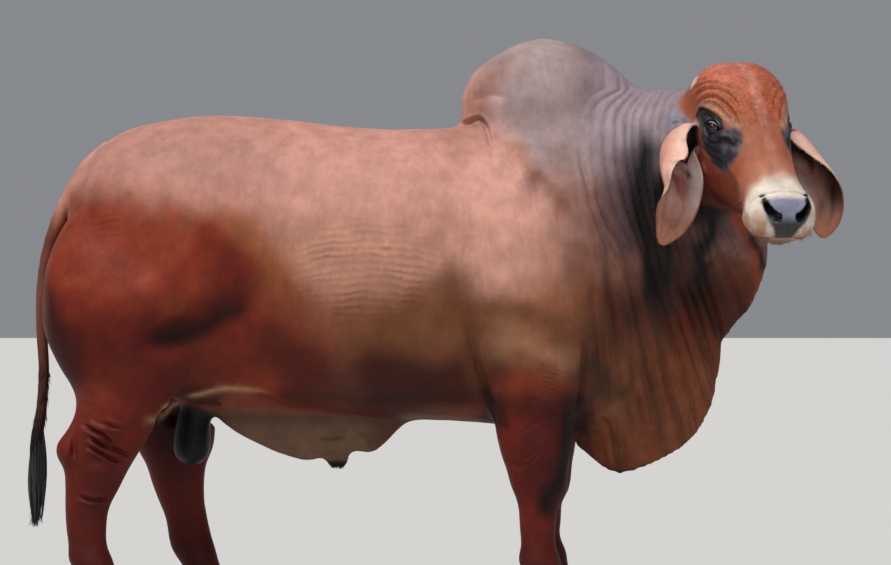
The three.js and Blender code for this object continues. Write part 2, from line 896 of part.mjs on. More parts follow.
// Each ear comes off across its root.
const EAR_CUT = { at: 0.16, size: [200, 200, PART_GAP] };
for (const [name, rows] of [
  ["ear_right", EAR_RIGHT],
  ["ear_left", EAR_LEFT],
]) {
  const { back, along, open, over, radius } = earStation(rows, EAR_CUT.at);
  const turn = new THREE.Matrix4().makeBasis(open, over.clone().negate(), along);
  const low = earStation(rows, 0.8);
  const seed = low.back.clone().addScaledVector(low.open, low.thick / 2);
  takeOff(name, block(EAR_CUT.size, back.clone().addScaledVector(open, radius), turn), seed);
}

// The head comes off inside two boxes that meet at the throat. Their near ends, sides, bottoms
// and tops are measured from the head's origin along the axes of each box.
const JAW_BOX = { from: -200, to: 720, halfWidth: 400, below: -392, above: 400 };
const NAPE_BOX = { from: -130, to: 760, halfWidth: 500, below: -700, above: 400 };
const NAPE_YAW = 48.5;
const JAW_PITCH = 18;

function headBox({ from, to, halfWidth, below, above }, turn) {
  const middle = point((from + to) / 2, 0, (above + below) / 2)
    .applyMatrix4(turn)
    .add(point(HEAD.x, HEAD.y, HEAD.z));
  return { size: [to - from, 2 * halfWidth, above - below], middle, turn };
}

{
  const jawTurn = headTurn
    .clone()
    .multiply(new THREE.Matrix4().makeRotationY(-degToRad(JAW_PITCH)));
  const napeTurn = new THREE.Matrix4().makeRotationZ(-degToRad(NAPE_YAW));
  const [inside, rest] = parted(body, headBox(JAW_BOX, jawTurn), headBox(NAPE_BOX, napeTurn));
  nodes.set("head", inside);
  body = rest;
}

// The hump comes off along a line that rises from the withers to the neck.
const HUMP_SEAT = [
  [60, 1484],
  [330, 1512],
  [680, 1608],
];
takeOff("hump", curtain(HUMP_SEAT, 480), point(330, 0, 1700));

// The dewlap comes off along the front of the brisket and the underside of the neck.
const DEWLAP_ROOT = [
  [380, 520],
  [470, 590],
  [540, 700],
  [600, 830],
  [655, 960],
  [712, 1070],
  [775, 1150],
  [860, 1215],
  [960, 1265],
];
takeOff("dewlap", curtain(DEWLAP_ROOT, 720), point(700, 0, 560));

// The neck comes off in front of the shoulder.
const NECK_ROOT = [
  [640, 1640],
  [590, 1400],
  [570, 1150],
  [600, 900],
  [640, 760],
];
takeOff("neck", curtain(NECK_ROOT, 800), point(690, -60, 1450));

// The hanging parts under the belly come off just below its skin.
const SHEATH_SEAT = [
  [-700, 628],
  [-560, 619],
  [-40, 586],
];
const SCROTUM_SEAT = [
  [-800, 640],
  [-735, 640],
  [-670, 640],
];
takeOff("sheath", curtain(SHEATH_SEAT, 170), point(-340, 0, 540));
takeOff("scrotum", curtain(SCROTUM_SEAT, 170), point(-735, 0, 520));

// Each leg comes off along a box round it: behind, ahead and above, as measured from its axis
// at the box's top, and beside the belly. It stands on two claws.
const LEG_BOX = {
  fore: { top: 690, behind: 142, ahead: 140, inner: 112, outer: 400 },
  hind: { top: 735, behind: 240, ahead: 192, inner: 70, outer: 400 },
};
for (const [name, { rows, side, shift }] of Object.entries(FEET)) {
  const { top, behind, ahead, inner, outer } = LEG_BOX[name.slice(0, 4)];
  const axis = rowAt(rows, top)[1] + shift;
  const [part, rest] = parted(body, {
    size: [ahead + behind, outer - inner, top + 20],
    middle: point(axis + (ahead - behind) / 2, (side * (inner + outer)) / 2, top / 2 - 10),
  });
  nodes.set(name, part);
  body = rest;
  const [, x, y] = rows[0];
  for (const way of [-1, 1]) {
    const place = way * side < 0 ? "inner" : "outer";
    nodes.set(`${name.replace("leg", "claw")}_${place}`, claw(x + shift, side * y, way));
  }
}
nodes.set("torso", body);

// The eyes sit in their sockets behind the lids.
nodes.set("eye_right", eyeball(-1));
nodes.set("eye_left", eyeball(1));

// Scene graph

const MATERIALS = {
  hide: { color: 0x8f5238, roughness: 0.62, metalness: 0 },
  dark: { color: 0x1d1614, roughness: 0.7, metalness: 0 },
  horn: { color: 0x3a322d, roughness: 0.45, metalness: 0 },
  eye: { color: 0x120c0a, roughness: 0.06, metalness: 0 },
};

function materialOf(name) {
  if (name.includes("claw")) return MATERIALS.horn;
  if (name.startsWith("eye")) return MATERIALS.eye;
  if (name === "tail_brush" || name === "scrotum") return MATERIALS.dark;
  return MATERIALS.hide;
}

function meshOf(name, solid) {
  const { vertProperties, triVerts, numProp, numVert } = solid.getMesh();
  const positions = new Float32Array(numVert * 3);
  for (let i = 0; i < numVert; i += 1) {
    positions.set(vertProperties.subarray(i * numProp, i * numProp + 3), 3 * i);
  }
  const geometry = new THREE.BufferGeometry()
    .setAttribute("position", new THREE.BufferAttribute(positions, 3))
    .setIndex(new THREE.BufferAttribute(new Uint32Array(triVerts), 1));
  const mesh = new THREE.Mesh(geometry, new THREE.MeshStandardMaterial(materialOf(name)));
  mesh.name = name;
  return mesh;
}

const bull = new THREE.Group();
bull.position.set(-PLAN_MIDDLE.x, -PLAN_MIDDLE.y, 0);
for (const [name, solid] of nodes) bull.add(meshOf(name, solid));

export default bull;
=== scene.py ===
# %% [markdown]
# # A red Brahman bull
#
# A Brahman is humped cattle: a high fleshy hump over the shoulders, a dewlap that hangs from the
# jaw to the forelegs, long drooping ears and a short, sleek coat over loose skin. This lesson
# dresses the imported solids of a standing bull. It makes one skin from the same named sizes as
# the solids, adds muscles, folds and wrinkles, colours it, and sets the small things on it.

import bmesh
import bpy
import numpy as np
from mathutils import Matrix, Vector
from mathutils.bvhtree import BVHTree


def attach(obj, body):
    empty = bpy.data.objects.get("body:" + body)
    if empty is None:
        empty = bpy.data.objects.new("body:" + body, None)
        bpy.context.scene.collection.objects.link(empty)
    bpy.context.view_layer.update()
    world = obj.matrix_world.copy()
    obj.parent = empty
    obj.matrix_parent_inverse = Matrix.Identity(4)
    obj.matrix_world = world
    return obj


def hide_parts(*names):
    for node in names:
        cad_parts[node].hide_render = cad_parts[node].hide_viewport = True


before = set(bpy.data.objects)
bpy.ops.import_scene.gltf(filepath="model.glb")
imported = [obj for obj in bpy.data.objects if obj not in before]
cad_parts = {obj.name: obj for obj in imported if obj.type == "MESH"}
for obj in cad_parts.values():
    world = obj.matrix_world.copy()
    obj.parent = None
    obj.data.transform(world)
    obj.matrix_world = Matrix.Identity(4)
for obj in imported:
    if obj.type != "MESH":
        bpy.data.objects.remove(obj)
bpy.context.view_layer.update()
print("nodes in the frame:", len(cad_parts))

# %% [markdown]
# ## Sizes and places
#
# The tables of sizes are in millimetres, in the frame that the animal's stations are written in.
# Blender works in metres, in the frame whose origin is the middle of the animal's floor plan.
# Two small functions go from one to the other, so that every table keeps plain numbers.

# %% Frames and interpolation
PLAN_SHIFT = np.array([3.0, 138.0, 0.0])


def metres(stations):
    """Millimetres in the stations' frame, as metres in the row's frame."""
    return (np.asarray(stations, float) + PLAN_SHIFT) / 1000


def stations(places):
    """Metres in the row's frame, as millimetres in the stations' frame."""
    return np.asarray(places, float) * 1000 - PLAN_SHIFT


def unit(vectors):
    """The vectors divided by their lengths."""
    return vectors / np.maximum(np.linalg.norm(vectors, axis=-1, keepdims=True), 1e-9)


def through(rows, places):
    """Values of a table at places along its first column, by a smooth cubic between two rows.

    The slope at a row is that of the straight line from the row before it to the row after it.
    """
    rows = np.asarray(rows, float)
    t = rows[:, 0]
    last = len(rows) - 1
    before = np.maximum(np.arange(last + 1) - 1, 0)
    after = np.minimum(np.arange(last + 1) + 1, last)
    slope = (rows[after] - rows[before]) / (t[after] - t[before])[:, None]
    place = np.clip(np.atleast_1d(np.asarray(places, float)), t[0], t[-1])
    i = np.clip(np.searchsorted(t, place, side="right") - 1, 0, last - 1)
    span = (t[i + 1] - t[i])[:, None]
    u = (place[:, None] - t[i][:, None]) / span
    value = (2 * u**3 - 3 * u**2 + 1) * rows[i] + (3 * u**2 - 2 * u**3) * rows[i + 1]
    return value + span * ((u**3 - 2 * u**2 + u) * slope[i] + (u**3 - u**2) * slope[i + 1])


def evenly(rows, count):
    """Evenly spaced places from the first row of a table to its last."""
    return np.linspace(rows[0][0], rows[-1][0], count)


def ramp(low, high, value):
    """0 below the low value, 1 above the high one, and a smooth rise between them."""
    share = np.clip((value - low) / (high - low), 0, 1)
    return share * share * (3 - 2 * share)


def noise(places, size, seed=0):
    """Smooth noise from -1 to 1 whose lumps are about as big as the size.

    Every corner of a lattice has a random height made by mixing its whole-number address, and
    a place takes the heights of the eight corners round it, blended by a smooth cubic.
    """
    grid = places / size + 1000.0
    cell = np.floor(grid).astype(np.int64)
    share = grid - cell
    share = share * share * (3 - 2 * share)
    total = np.zeros(len(places))
    for corner in range(8):
        step = np.array([corner & 1, corner >> 1 & 1, corner >> 2 & 1])
        key = ((cell + step) * np.array([73856093, 19349663, 83492791])).sum(1) + seed * 7919
        key = (key ^ (key >> 13)) * 1274126177 & 0xFFFFFFFF
        height = ((key ^ (key >> 16)) & 0xFFFF) / 32767.5 - 1
        total += height * np.prod(np.where(step == 1, share, 1 - share), axis=1)
    return total


# %% [markdown]
# ## Lofts
#
# Each main form is a loft: a ring of points carried along a path, with a dome on each end. A
# ring is a superellipse, which is an ellipse for power 2 and comes nearer to a box above that.
# Whole arrays of rings are worked out at once, and the faces come from the grid's own numbers.

# %% Rings, domes and lofts
def circle(count, start=0.0):
    """Angles that are spread evenly round a circle."""
    return 2 * np.pi * (np.arange(count) + start) / count


def bulged(wave, power):
    """A sine or cosine raised to a power, with its sign kept."""
    return np.sign(wave) * np.abs(wave) ** power


def ovals(centre, across, up, half, above, below, power=2.0, count=48):
    """A superellipse ring for each station, whose upper and lower halves differ in height."""
    angle = circle(count, 0.5)
    c, s = np.cos(angle), np.sin(angle)
    bend = 2 / np.broadcast_to(np.asarray(power, float), half.shape)[:, None]
    side = bulged(c, bend) * half[:, None]
    rise = bulged(s, bend) * np.where(s > 0, above[:, None], below[:, None])
    across, up = [np.atleast_2d(axis)[:, None] for axis in (across, up)]
    return centre[:, None] + side[..., None] * across + rise[..., None] * up


def dome(rings, length, degrees=(14, 28, 42, 55, 67, 78, 86)):
    """Rings that shrink over a quarter circle past the last ring."""
    middle = rings[-1].mean(0)
    outward = unit(middle - rings[-2].mean(0))
    angle = np.radians(degrees)[:, None, None]
    return middle + (rings[-1] - middle) * np.cos(angle) + outward * np.sin(angle) * length


def loft(rings, start=0.0, end=0.0):
    """Points and four-sided faces of a closed skin through rings, with a point on each end."""
    parts = [rings]
    if start:
        parts.insert(0, dome(rings[::-1], start)[::-1])
    if end:
        parts.append(dome(rings, end))
    rings = np.concatenate(parts)
    levels, count = rings.shape[:2]
    points = np.vstack([rings.reshape(-1, 3), rings[0].mean(0), rings[-1].mean(0)])
    index = np.arange(levels * count).reshape(levels, count)
    onward = np.roll(index, -1, axis=1)
    walls = np.stack([index[:-1], onward[:-1], onward[1:], index[1:]], -1).reshape(-1, 4)
    low, high = levels * count, levels * count + 1
    ends = [
        np.stack([onward[0], index[0], np.full(count, low), np.full(count, low)], -1),
        np.stack([index[-1], onward[-1], np.full(count, high), np.full(count, high)], -1),
    ]
    faces = np.vstack([walls, *ends])
    corner = points[faces]
    volume = np.einsum("ij,ij->", corner[:, 0], np.cross(corner[:, 1], corner[:, 2]))
    volume += np.einsum("ij,ij->", corner[:, 0], np.cross(corner[:, 2], corner[:, 3]))
    return points, faces if volume > 0 else faces[:, ::-1]


def bead(middle, radii, turn=np.eye(3), count=28):
    """A closed ball stretched along three directions, the columns of the turn."""
    tall = np.linspace(-1, 1, count // 2 + 1)[1:-1]
    height = np.sin(tall * np.pi / 2)
    angle = circle(count)
    wide = np.cos(tall * np.pi / 2)[:, None]
    ring = np.stack(
        [wide * np.cos(angle), wide * np.sin(angle), height[:, None] + 0 * angle], -1
    )
    return loft(np.asarray(middle) + (ring * radii) @ np.asarray(turn).T)


def gathered(pieces):
    """Several sets of points and faces as one."""
    offsets = np.cumsum([0] + [len(points) for points, _ in pieces[:-1]])
    points = np.vstack([points for points, _ in pieces])
    faces = np.vstack([faces + offset for (_, faces), offset in zip(pieces, offsets)])
    return points, faces


def mesh_object(name, points, faces, smooth=True):
    """A mesh object from points in metres and faces; a repeated last corner is a triangle."""
    mesh = bpy.data.meshes.new(name)
    rows = [f[:3] if f[-1] == f[-2] else f for f in faces.tolist()]
    mesh.from_pydata(points.tolist(), [], rows)
    mesh.validate()
    mesh.polygons.foreach_set("use_smooth", np.full(len(mesh.polygons), smooth))
    thing = bpy.data.objects.new(name, mesh)
    bpy.context.scene.collection.objects.link(thing)
    return thing


def numbers(things, name, width, kind=np.float32):
    """What each of a mesh's points, edges, faces or corners keeps under a name, a row for each."""
    flat = np.empty(len(things) * width, kind)
    things.foreach_get(name, flat)
    return flat.reshape(-1, width)


def points_of(thing):
    """The mesh's points, in millimetres in the stations' frame."""
    return stations(numbers(thing.data.vertices, "co", 3))


def set_points(thing, places):
    """Puts points, in millimetres in the stations' frame, back into the mesh."""
    flat = metres(places).astype(np.float32).ravel()
    thing.data.vertices.foreach_set("co", flat)
    thing.data.update()


def normals_of(thing):
    """The direction in which the surface faces at each point."""
    return numbers(thing.data.vertices, "normal", 3).astype(float)


def apply_modifiers(thing):
    """Replaces the object's mesh by what its modifiers make of it."""
    evaluated = thing.evaluated_get(bpy.context.evaluated_depsgraph_get())
    made = bpy.data.meshes.new_from_object(evaluated)
    thing.modifiers.clear()
    old, thing.data = thing.data, made
    bpy.data.meshes.remove(old)


# %% [markdown]
# ## The named sizes
#
# These are the stations of the solids: the trunk, hump, neck, dewlap, sheath, scrotum and legs.
# The skin starts from the same numbers, so that it lies where the solids lie.

# %% Tables of stations
# Along X: top line, widest height, belly line, half width, squareness of the section.
TORSO = [
    [-1092, 1318, 1130, 950, 160, 2.0], [-1035, 1402, 1140, 830, 236, 2.1],
    [-960, 1464, 1150, 740, 282, 2.2], [-860, 1500, 1150, 680, 308, 2.25],
    [-700, 1524, 1120, 650, 328, 2.3], [-560, 1523, 1080, 640, 335, 2.3],
    [-400, 1510, 1040, 625, 352, 2.3], [-240, 1489, 1010, 610, 366, 2.3],
    [-80, 1486, 990, 598, 370, 2.3], [80, 1488, 980, 588, 362, 2.25],
    [240, 1500, 970, 578, 345, 2.2], [390, 1530, 960, 566, 322, 2.15],
    [520, 1560, 960, 585, 280, 2.1], [620, 1560, 980, 680, 215, 2.05],
    [690, 1500, 1020, 800, 150, 2.0],
]
# Along X: crest of the hump, its sunken base and its half width.
HUMP = [
    [94, 1600, 1440, 72], [115, 1646, 1400, 100], [150, 1682, 1380, 119], [200, 1715, 1370, 135],
    [260, 1744, 1360, 147], [330, 1760, 1350, 152], [400, 1750, 1350, 150], [470, 1724, 1360, 142],
    [540, 1682, 1380, 128], [590, 1640, 1400, 110], [640, 1588, 1430, 85],
]
# From the shoulder to the poll: X, Y, crest, throat line and half width.
NECK = [
    [0, 380, 0, 1530, 700, 262], [1, 500, -5, 1586, 700, 252], [2, 590, -20, 1602, 780, 230],
    [3, 670, -48, 1600, 885, 196], [4, 745, -92, 1604, 985, 170], [5, 810, -148, 1612, 1060, 138],
    [6, 862, -205, 1596, 1120, 112], [7, 890, -245, 1555, 1190, 82],
]
# From between the forelegs to under the jaw: the free edge X, Y, Z, the root X, Y, Z, and half
# thickness at the root and at the edge.
DEWLAP = [
    [0, 448, 0, 505, 400, 0, 717, 90, 30], [1, 485, 0, 473, 433, 0, 808, 110, 30],
    [2, 525, 0, 442, 479, 0, 869, 120, 30], [3, 576, 0, 429, 509, 0, 930, 125, 30],
    [4, 647, 0, 448, 546, 0, 991, 125, 30], [5, 714, 0, 480, 576, 0, 1052, 120, 30],
    [6, 778, 0, 522, 607, 0, 1098, 115, 30], [7, 824, 0, 580, 637, -5, 1144, 110, 30],
    [8, 854, 0, 650, 668, -10, 1174, 105, 30], [9, 872, -5, 732, 698, -20, 1199, 100, 30],
    [10, 882, -12, 808, 729, -40, 1220, 95, 30], [11, 900, -25, 858, 760, -65, 1235, 92, 30],
    [12, 942, -50, 905, 790, -95, 1250, 90, 30], [13, 974, -80, 955, 820, -130, 1262, 90, 32],
    [14, 994, -115, 1010, 845, -165, 1275, 88, 34], [15, 1006, -160, 1070, 870, -205, 1290, 84, 38],
    [16, 1004, -210, 1130, 892, -245, 1310, 78, 42],
]
# Along X under the belly: top inside the body, free lower edge and half thickness.
SHEATH = [
    [-650, 690, 590, 50], [-600, 700, 552, 58], [-506, 700, 506, 60], [-440, 700, 480, 58],
    [-385, 700, 469, 54], [-335, 700, 477, 50], [-290, 700, 486, 48], [-240, 700, 500, 48],
    [-190, 700, 494, 48], [-143, 700, 523, 50], [-105, 690, 562, 50], [-70, 680, 592, 44],
]
# Down the scrotum: height, middle X, half length and half width.
SCROTUM = [
    [466, -735, 30, 36], [478, -735, 48, 56], [510, -735, 58, 68], [550, -733, 58, 64],
    [590, -730, 54, 54], [640, -725, 48, 46], [700, -720, 46, 46],
]
# Down each leg: height, middle X, distance from the middle plane, half length, half width.
HIND_RIGHT = [
    [88, -985, 222, 66, 62], [130, -1003, 220, 60, 54], [185, -1024, 218, 67, 58],
    [225, -1032, 218, 59, 49], [290, -1037, 217, 62, 49], [345, -1034, 216, 69, 53],
    [400, -1021, 214, 83, 61], [450, -1010, 212, 97, 71], [505, -1001, 210, 124, 80],
    [560, -975, 208, 128, 86], [620, -941, 206, 134, 98], [680, -926, 204, 150, 112],
    [760, -915, 202, 205, 127], [860, -912, 198, 254, 137], [950, -888, 192, 286, 143],
    [1080, -898, 176, 258, 130], [1200, -905, 150, 200, 112], [1300, -900, 120, 130, 85],
]
HIND_LEFT = [
    [88, -700, 222, 66, 62], [130, -718, 220, 60, 54], [185, -744, 218, 70, 58],
    [225, -756, 218, 68, 50], [285, -767, 217, 66, 50], [345, -782, 216, 74, 54],
    [400, -792, 214, 84, 62], [450, -797, 212, 97, 71], [505, -800, 210, 122, 80],
    [560, -800, 208, 126, 86], [620, -805, 206, 134, 98], [680, -820, 204, 150, 112],
    [760, -845, 202, 200, 127], [860, -870, 198, 246, 137], [950, -872, 192, 280, 143],
    [1080, -890, 176, 256, 130], [1200, -902, 150, 200, 112], [1300, -900, 120, 130, 85],
]
FORE = [
    [88, 350, 216, 66, 63], [130, 336, 216, 59, 55], [180, 322, 216, 66, 59],
    [230, 317, 216, 54, 48], [290, 316, 216, 56, 48], [335, 316, 216, 59, 52],
    [368, 322, 216, 73, 60], [404, 318, 216, 85, 66], [452, 313, 216, 94, 70],
    [520, 308, 216, 110, 78], [580, 307, 215, 120, 86], [640, 308, 214, 128, 95],
    [720, 302, 212, 140, 108], [830, 300, 208, 176, 122], [960, 318, 200, 205, 130],
    [1100, 345, 185, 190, 118], [1220, 365, 165, 150, 95],
]
# The rows of each leg, its side (-1 is the animal's right) and how far it is shifted along X.
LEGS = {
    "foreleg_right": (FORE, -1, 0),
    "foreleg_left": (FORE, 1, 26),
    "hindleg_right": (HIND_RIGHT, -1, 0),
    "hindleg_left": (HIND_LEFT, 1, 0),
}
# Down the tail: height, X and radius.
TAIL = [
    [432, -1215, 8], [470, -1213, 17], [510, -1211, 20], [560, -1205, 19], [640, -1193, 17],
    [750, -1187, 17], [870, -1193, 18], [990, -1191, 20], [1110, -1172, 22], [1220, -1132, 27],
    [1310, -1082, 32], [1372, -1035, 36], [1414, -980, 38],
]
# Down the face: forehead line, widest level, jaw line, half width and squareness.
SKULL = [
    [-84, -30, -130, -215, 92, 2.4], [-50, 26, -125, -262, 126, 2.7], [0, 52, -110, -296, 142, 2.9],
    [50, 62, -100, -318, 145, 2.95], [100, 61, -96, -325, 142, 2.9], [150, 51, -96, -322, 134, 2.7],
    [200, 38, -98, -310, 127, 2.5], [250, 19, -102, -292, 116, 2.4],
    [310, 0, -108, -266, 103, 2.35], [370, -14, -112, -241, 94, 2.35],
    [430, -24, -114, -219, 90, 2.4], [480, -32, -114, -206, 96, 2.5],
    [525, -41, -114, -197, 104, 2.6], [556, -56, -116, -186, 102, 2.6],
    [578, -80, -120, -170, 86, 2.5],
]
# From root to tip of each ear: X, Y, Z of the middle of its back, the way that the cup opens
# (azimuth, rise), its width round the cup, how far the cup curls in degrees, and thickness.
EAR_RIGHT = [
    [0, 776, -240, 1456, 8, 0, 120, 236, 13], [0.08, 722, -290, 1448, 6, 0, 186, 232, 11],
    [0.2, 682, -320, 1420, 8, 0, 250, 224, 9], [0.35, 678, -322, 1362, 22, 0, 262, 210, 8],
    [0.5, 712, -318, 1308, 54, 0, 212, 166, 8], [0.65, 721, -314, 1248, 78, 0, 158, 122, 7],
    [0.8, 706, -316, 1188, 84, 0, 110, 92, 7], [0.93, 687, -320, 1144, 84, 0, 52, 60, 6],
    [1, 682, -322, 1124, 84, 0, 14, 40, 4],
]
EAR_LEFT = [
    [0, 1008, -142, 1490, 124, -40, 140, 240, 13], [0.08, 1062, -116, 1486, 124, -44, 176, 240, 11],
    [0.2, 1110, -98, 1450, 122, -46, 214, 226, 9], [0.35, 1150, -100, 1390, 120, -40, 224, 200, 8],
    [0.5, 1177, -106, 1324, 114, -22, 194, 156, 8], [0.65, 1186, -114, 1264, 108, -8, 158, 118, 7],
    [0.8, 1184, -124, 1208, 104, 0, 116, 92, 7], [0.93, 1178, -132, 1166, 100, 0, 56, 60, 6],
    [1, 1175, -136, 1148, 100, 0, 14, 40, 4],
]
print("stations:", sum(map(len, [TORSO, HUMP, NECK, DEWLAP, SHEATH, SKULL, TAIL])))

# %% [markdown]
# ## The head's own frame
#
# The head is turned to the animal's right and hangs forward. Its details are easiest to place in
# a frame that turns with it: the first axis runs down the face, the second to the animal's left
# and the third out of the forehead.

# %% Head frame
HEAD = {"origin": np.array([905.0, -235.0, 1622.0]), "yaw": 72.5, "pitch": 38.0, "roll": 1.0}


def head_axes():
    """The head's three directions as rows: down the face, to its left, out of the forehead."""
    yaw, pitch, roll = np.radians([HEAD["yaw"], HEAD["pitch"], HEAD["roll"]])
    face = np.array([np.cos(yaw) * np.cos(pitch), -np.sin(yaw) * np.cos(pitch), -np.sin(pitch)])
    brow = np.array([np.cos(yaw) * np.sin(pitch), -np.sin(yaw) * np.sin(pitch), np.cos(pitch)])
    level = np.array([np.sin(yaw), np.cos(yaw), 0.0])
    out = brow * np.cos(roll) - level * np.sin(roll)
    left = level * np.cos(roll) + brow * np.sin(roll)
    return np.array([face, left, out])


HEAD_AXES = head_axes()


def on_head(places):
    """Places in the head's frame, as places in the stations' frame."""
    return HEAD["origin"] + np.asarray(places, float) @ HEAD_AXES


def head_places(points):
    """Places in the stations' frame, as places in the head's frame."""
    return (points - HEAD["origin"]) @ HEAD_AXES.T


EYE = {"along": 180, "side": 110, "out": -50, "radius": 23}


def eye_frame(side):
    """Middle of an eyeball and the rows of its axes: along the slit, up, and the gaze."""
    gaze = unit(np.array([0.3, side * 0.86, 0.36]))
    level = unit(np.array([0.8, side * -0.45, 0.4]))
    lift = unit(np.cross(gaze, level))
    flat = unit(np.cross(lift, gaze))
    middle = on_head([EYE["along"], side * EYE["side"], EYE["out"]])
    return middle, np.array([flat, lift, gaze]) @ HEAD_AXES


print("muzzle at", metres(on_head([580, 0, -110])).round(3))

# %% [markdown]
# ## The main forms
#
# The first skin is a union of lofts. A voxel remesh is the simplest way to join many closed
# forms into one even net of squares, because it keeps only their common outer surface.

# %% The lofts of the body
X_AXIS, Y_AXIS, Z_AXIS = np.eye(3)


def trunk():
    """The barrel of the body: upright ovals along X."""
    row = through(TORSO, evenly(TORSO, 70))
    x, top, widest, bottom, half, power = row.T
    centre = np.stack([x, 0 * x, widest], -1)
    rings = ovals(centre, Y_AXIS, Z_AXIS, half, top - widest, widest - bottom, power, 64)
    return loft(rings, 24, 60)


def upright(rows, count, power, start, end):
    """A form of upright ovals along X that is given by its top, its bottom and its half width."""
    x, top, bottom, half = through(rows, evenly(rows, count)).T
    middle = (top + bottom) / 2
    centre = np.stack([x, 0 * x, middle], -1)
    rings = ovals(centre, Y_AXIS, Z_AXIS, half, top - middle, middle - bottom, power)
    return loft(rings, start, end)


def neck():
    """The neck: upright ovals along a path that bends towards the animal's right."""
    t = evenly(NECK, 40)
    _, x, y, top, bottom, half = through(NECK, t).T
    step = through(NECK, t + 0.05) - through(NECK, t - 0.05)
    along = unit(np.stack([step[:, 1], step[:, 2], 0 * t], -1))
    across = np.stack([-along[:, 1], along[:, 0], 0 * t], -1)
    middle = (top + bottom) / 2
    centre = np.stack([x, y, middle], -1)
    return loft(ovals(centre, across, Z_AXIS, half, top - middle, middle - bottom, 2.2, 64), 0, 30)


def dewlap():
    """The hanging skin: rings that run from its root inside the neck out to its free edge."""
    row = through(DEWLAP, evenly(DEWLAP, 80))
    edge, root = row[:, 1:4], row[:, 4:7]
    turn = -row[:, 2] / 420
    across = np.stack([np.sin(turn), np.cos(turn), 0 * turn], -1)
    angle = circle(40, 0.5)
    along = np.cos(angle)
    half = row[:, 7:8] + (row[:, 8:9] - row[:, 7:8]) * (along + 1) / 2
    reach = bulged(along, 0.8)
    rings = (edge + root)[:, None] / 2 + (edge - root)[:, None] / 2 * reach[:, None]
    rings = rings + across[:, None] * (np.sin(angle) * half)[..., None]
    return loft(rings, 20, 20)


def level_rings(rows, count, side, shift, power, start, end):
    """A standing form of level ovals: height, X, distance from the middle, length and width."""
    z, x, y, half, wide = through(rows, evenly(rows, count)).T
    centre = np.stack([x + shift, side * y, z], -1)
    return loft(ovals(centre, X_AXIS, Y_AXIS, half, wide, wide, power, 40), start, end)


def skull():
    """The head: ovals down the face, in the head's frame."""
    row = through(SKULL, evenly(SKULL, 60))
    along, top, widest, bottom, half, power = row.T
    centre = on_head(np.stack([along, 0 * along, widest], -1))
    rings = ovals(centre, *HEAD_AXES[1:], half, top - widest, widest - bottom, power, 60)
    return loft(rings, 22, 14)


scrotum_rows = [[z, x, 0, half, wide] for z, x, half, wide in SCROTUM]
forms = [
    trunk(),
    upright(HUMP, 40, 2.2, 10, 20),
    neck(),
    dewlap(),
    upright(SHEATH, 50, 2.0, 12, 12),
    bead([-306, 0, 482], [22, 26, 35]),
    bead([-280, 0, 482], [22, 26, 35]),
    level_rings(scrotum_rows, 24, 1, 0, 2.0, 8, 0),
    skull(),
    bead(on_head([526, 0, -174]), [54, 62, 22], HEAD_AXES.T),
]
for rows, side, shift in LEGS.values():
    forms.append(level_rings(rows, 60, side, shift, 2.15, 0, 50))
for side in (-1, 1):
    forms.append(bead(on_head([48, side * 112, -122]), [46, 40, 44], HEAD_AXES.T))
    forms.append(bead(on_head([514, side * 74, -134]), [54, 32, 36], HEAD_AXES.T))
points, faces = gathered(forms)
hide = mesh_object("hide", metres(points), faces)
print("forms:", len(forms), "faces:", len(faces))

# %% Remesh
VOXEL = 0.0105
remesh = hide.modifiers.new("one_skin", "REMESH")
remesh.mode = "VOXEL"
remesh.voxel_size = VOXEL
apply_modifiers(hide)
print("skin net:", len(hide.data.vertices), "points")

# %% [markdown]
# ## Soft joins
#
# A union has sharp valleys where two forms meet. Flesh has none, so the valleys are filled:
# where the mean of a point's neighbours lies outside the surface, the point moves out towards
# it. Ridges stay, because the move is never inwards. A few rounds of plain smoothing, with a
# swelling round after each shrinking one, then even out the steps that the voxels leave.

# %% Filling the valleys
def neighbour_mean(values, edges, degree):
    """For each point, the mean of the values at the points that an edge joins it to."""
    count = len(values)
    columns = [
        np.bincount(edges[:, 0], values[edges[:, 1], k], count)
        + np.bincount(edges[:, 1], values[edges[:, 0], k], count)
        for k in range(values.shape[1])
    ]
    return np.stack(columns, -1) / degree[:, None]


def net_of(thing):
    """The edges of an object's mesh and how many meet at each point."""
    edges = numbers(thing.data.edges, "vertices", 2, np.int32)
    degree = np.bincount(edges.ravel(), minlength=len(thing.data.vertices))
    return edges, np.maximum(degree, 1).astype(float)


def relax(places, edges, degree, rounds, weight=1.0):
    """Smoothing that doesn't shrink: a move towards the neighbours, then a smaller one back."""
    weight = np.asarray(weight).reshape(-1, 1)
    for _ in range(rounds):
        places = places + 0.5 * weight * (neighbour_mean(places, edges, degree) - places)
        places = places - 0.52 * weight * (neighbour_mean(places, edges, degree) - places)
    return places


def fill_valleys(thing, rounds, weight, slide, after, ease=1.0):
    """Moves points of concave places out along the surface's normal, towards their neighbours.

    They slide along the surface too, by a share, and some rounds of smoothing come after.
    """
    edges, degree = net_of(thing)
    places = points_of(thing)
    for k in range(rounds):
        if k % 6 == 0:
            set_points(thing, places)
            normal = normals_of(thing)
        pull = neighbour_mean(places, edges, degree) - places
        rise = np.einsum("ij,ij->i", pull, normal)
        places = places + (0.6 * weight * np.maximum(rise, 0))[:, None] * normal
        places = places + slide * (pull - rise[:, None] * normal)
    set_points(thing, relax(places, edges, degree, after, ease))


base = points_of(hide)
in_head = head_places(base)
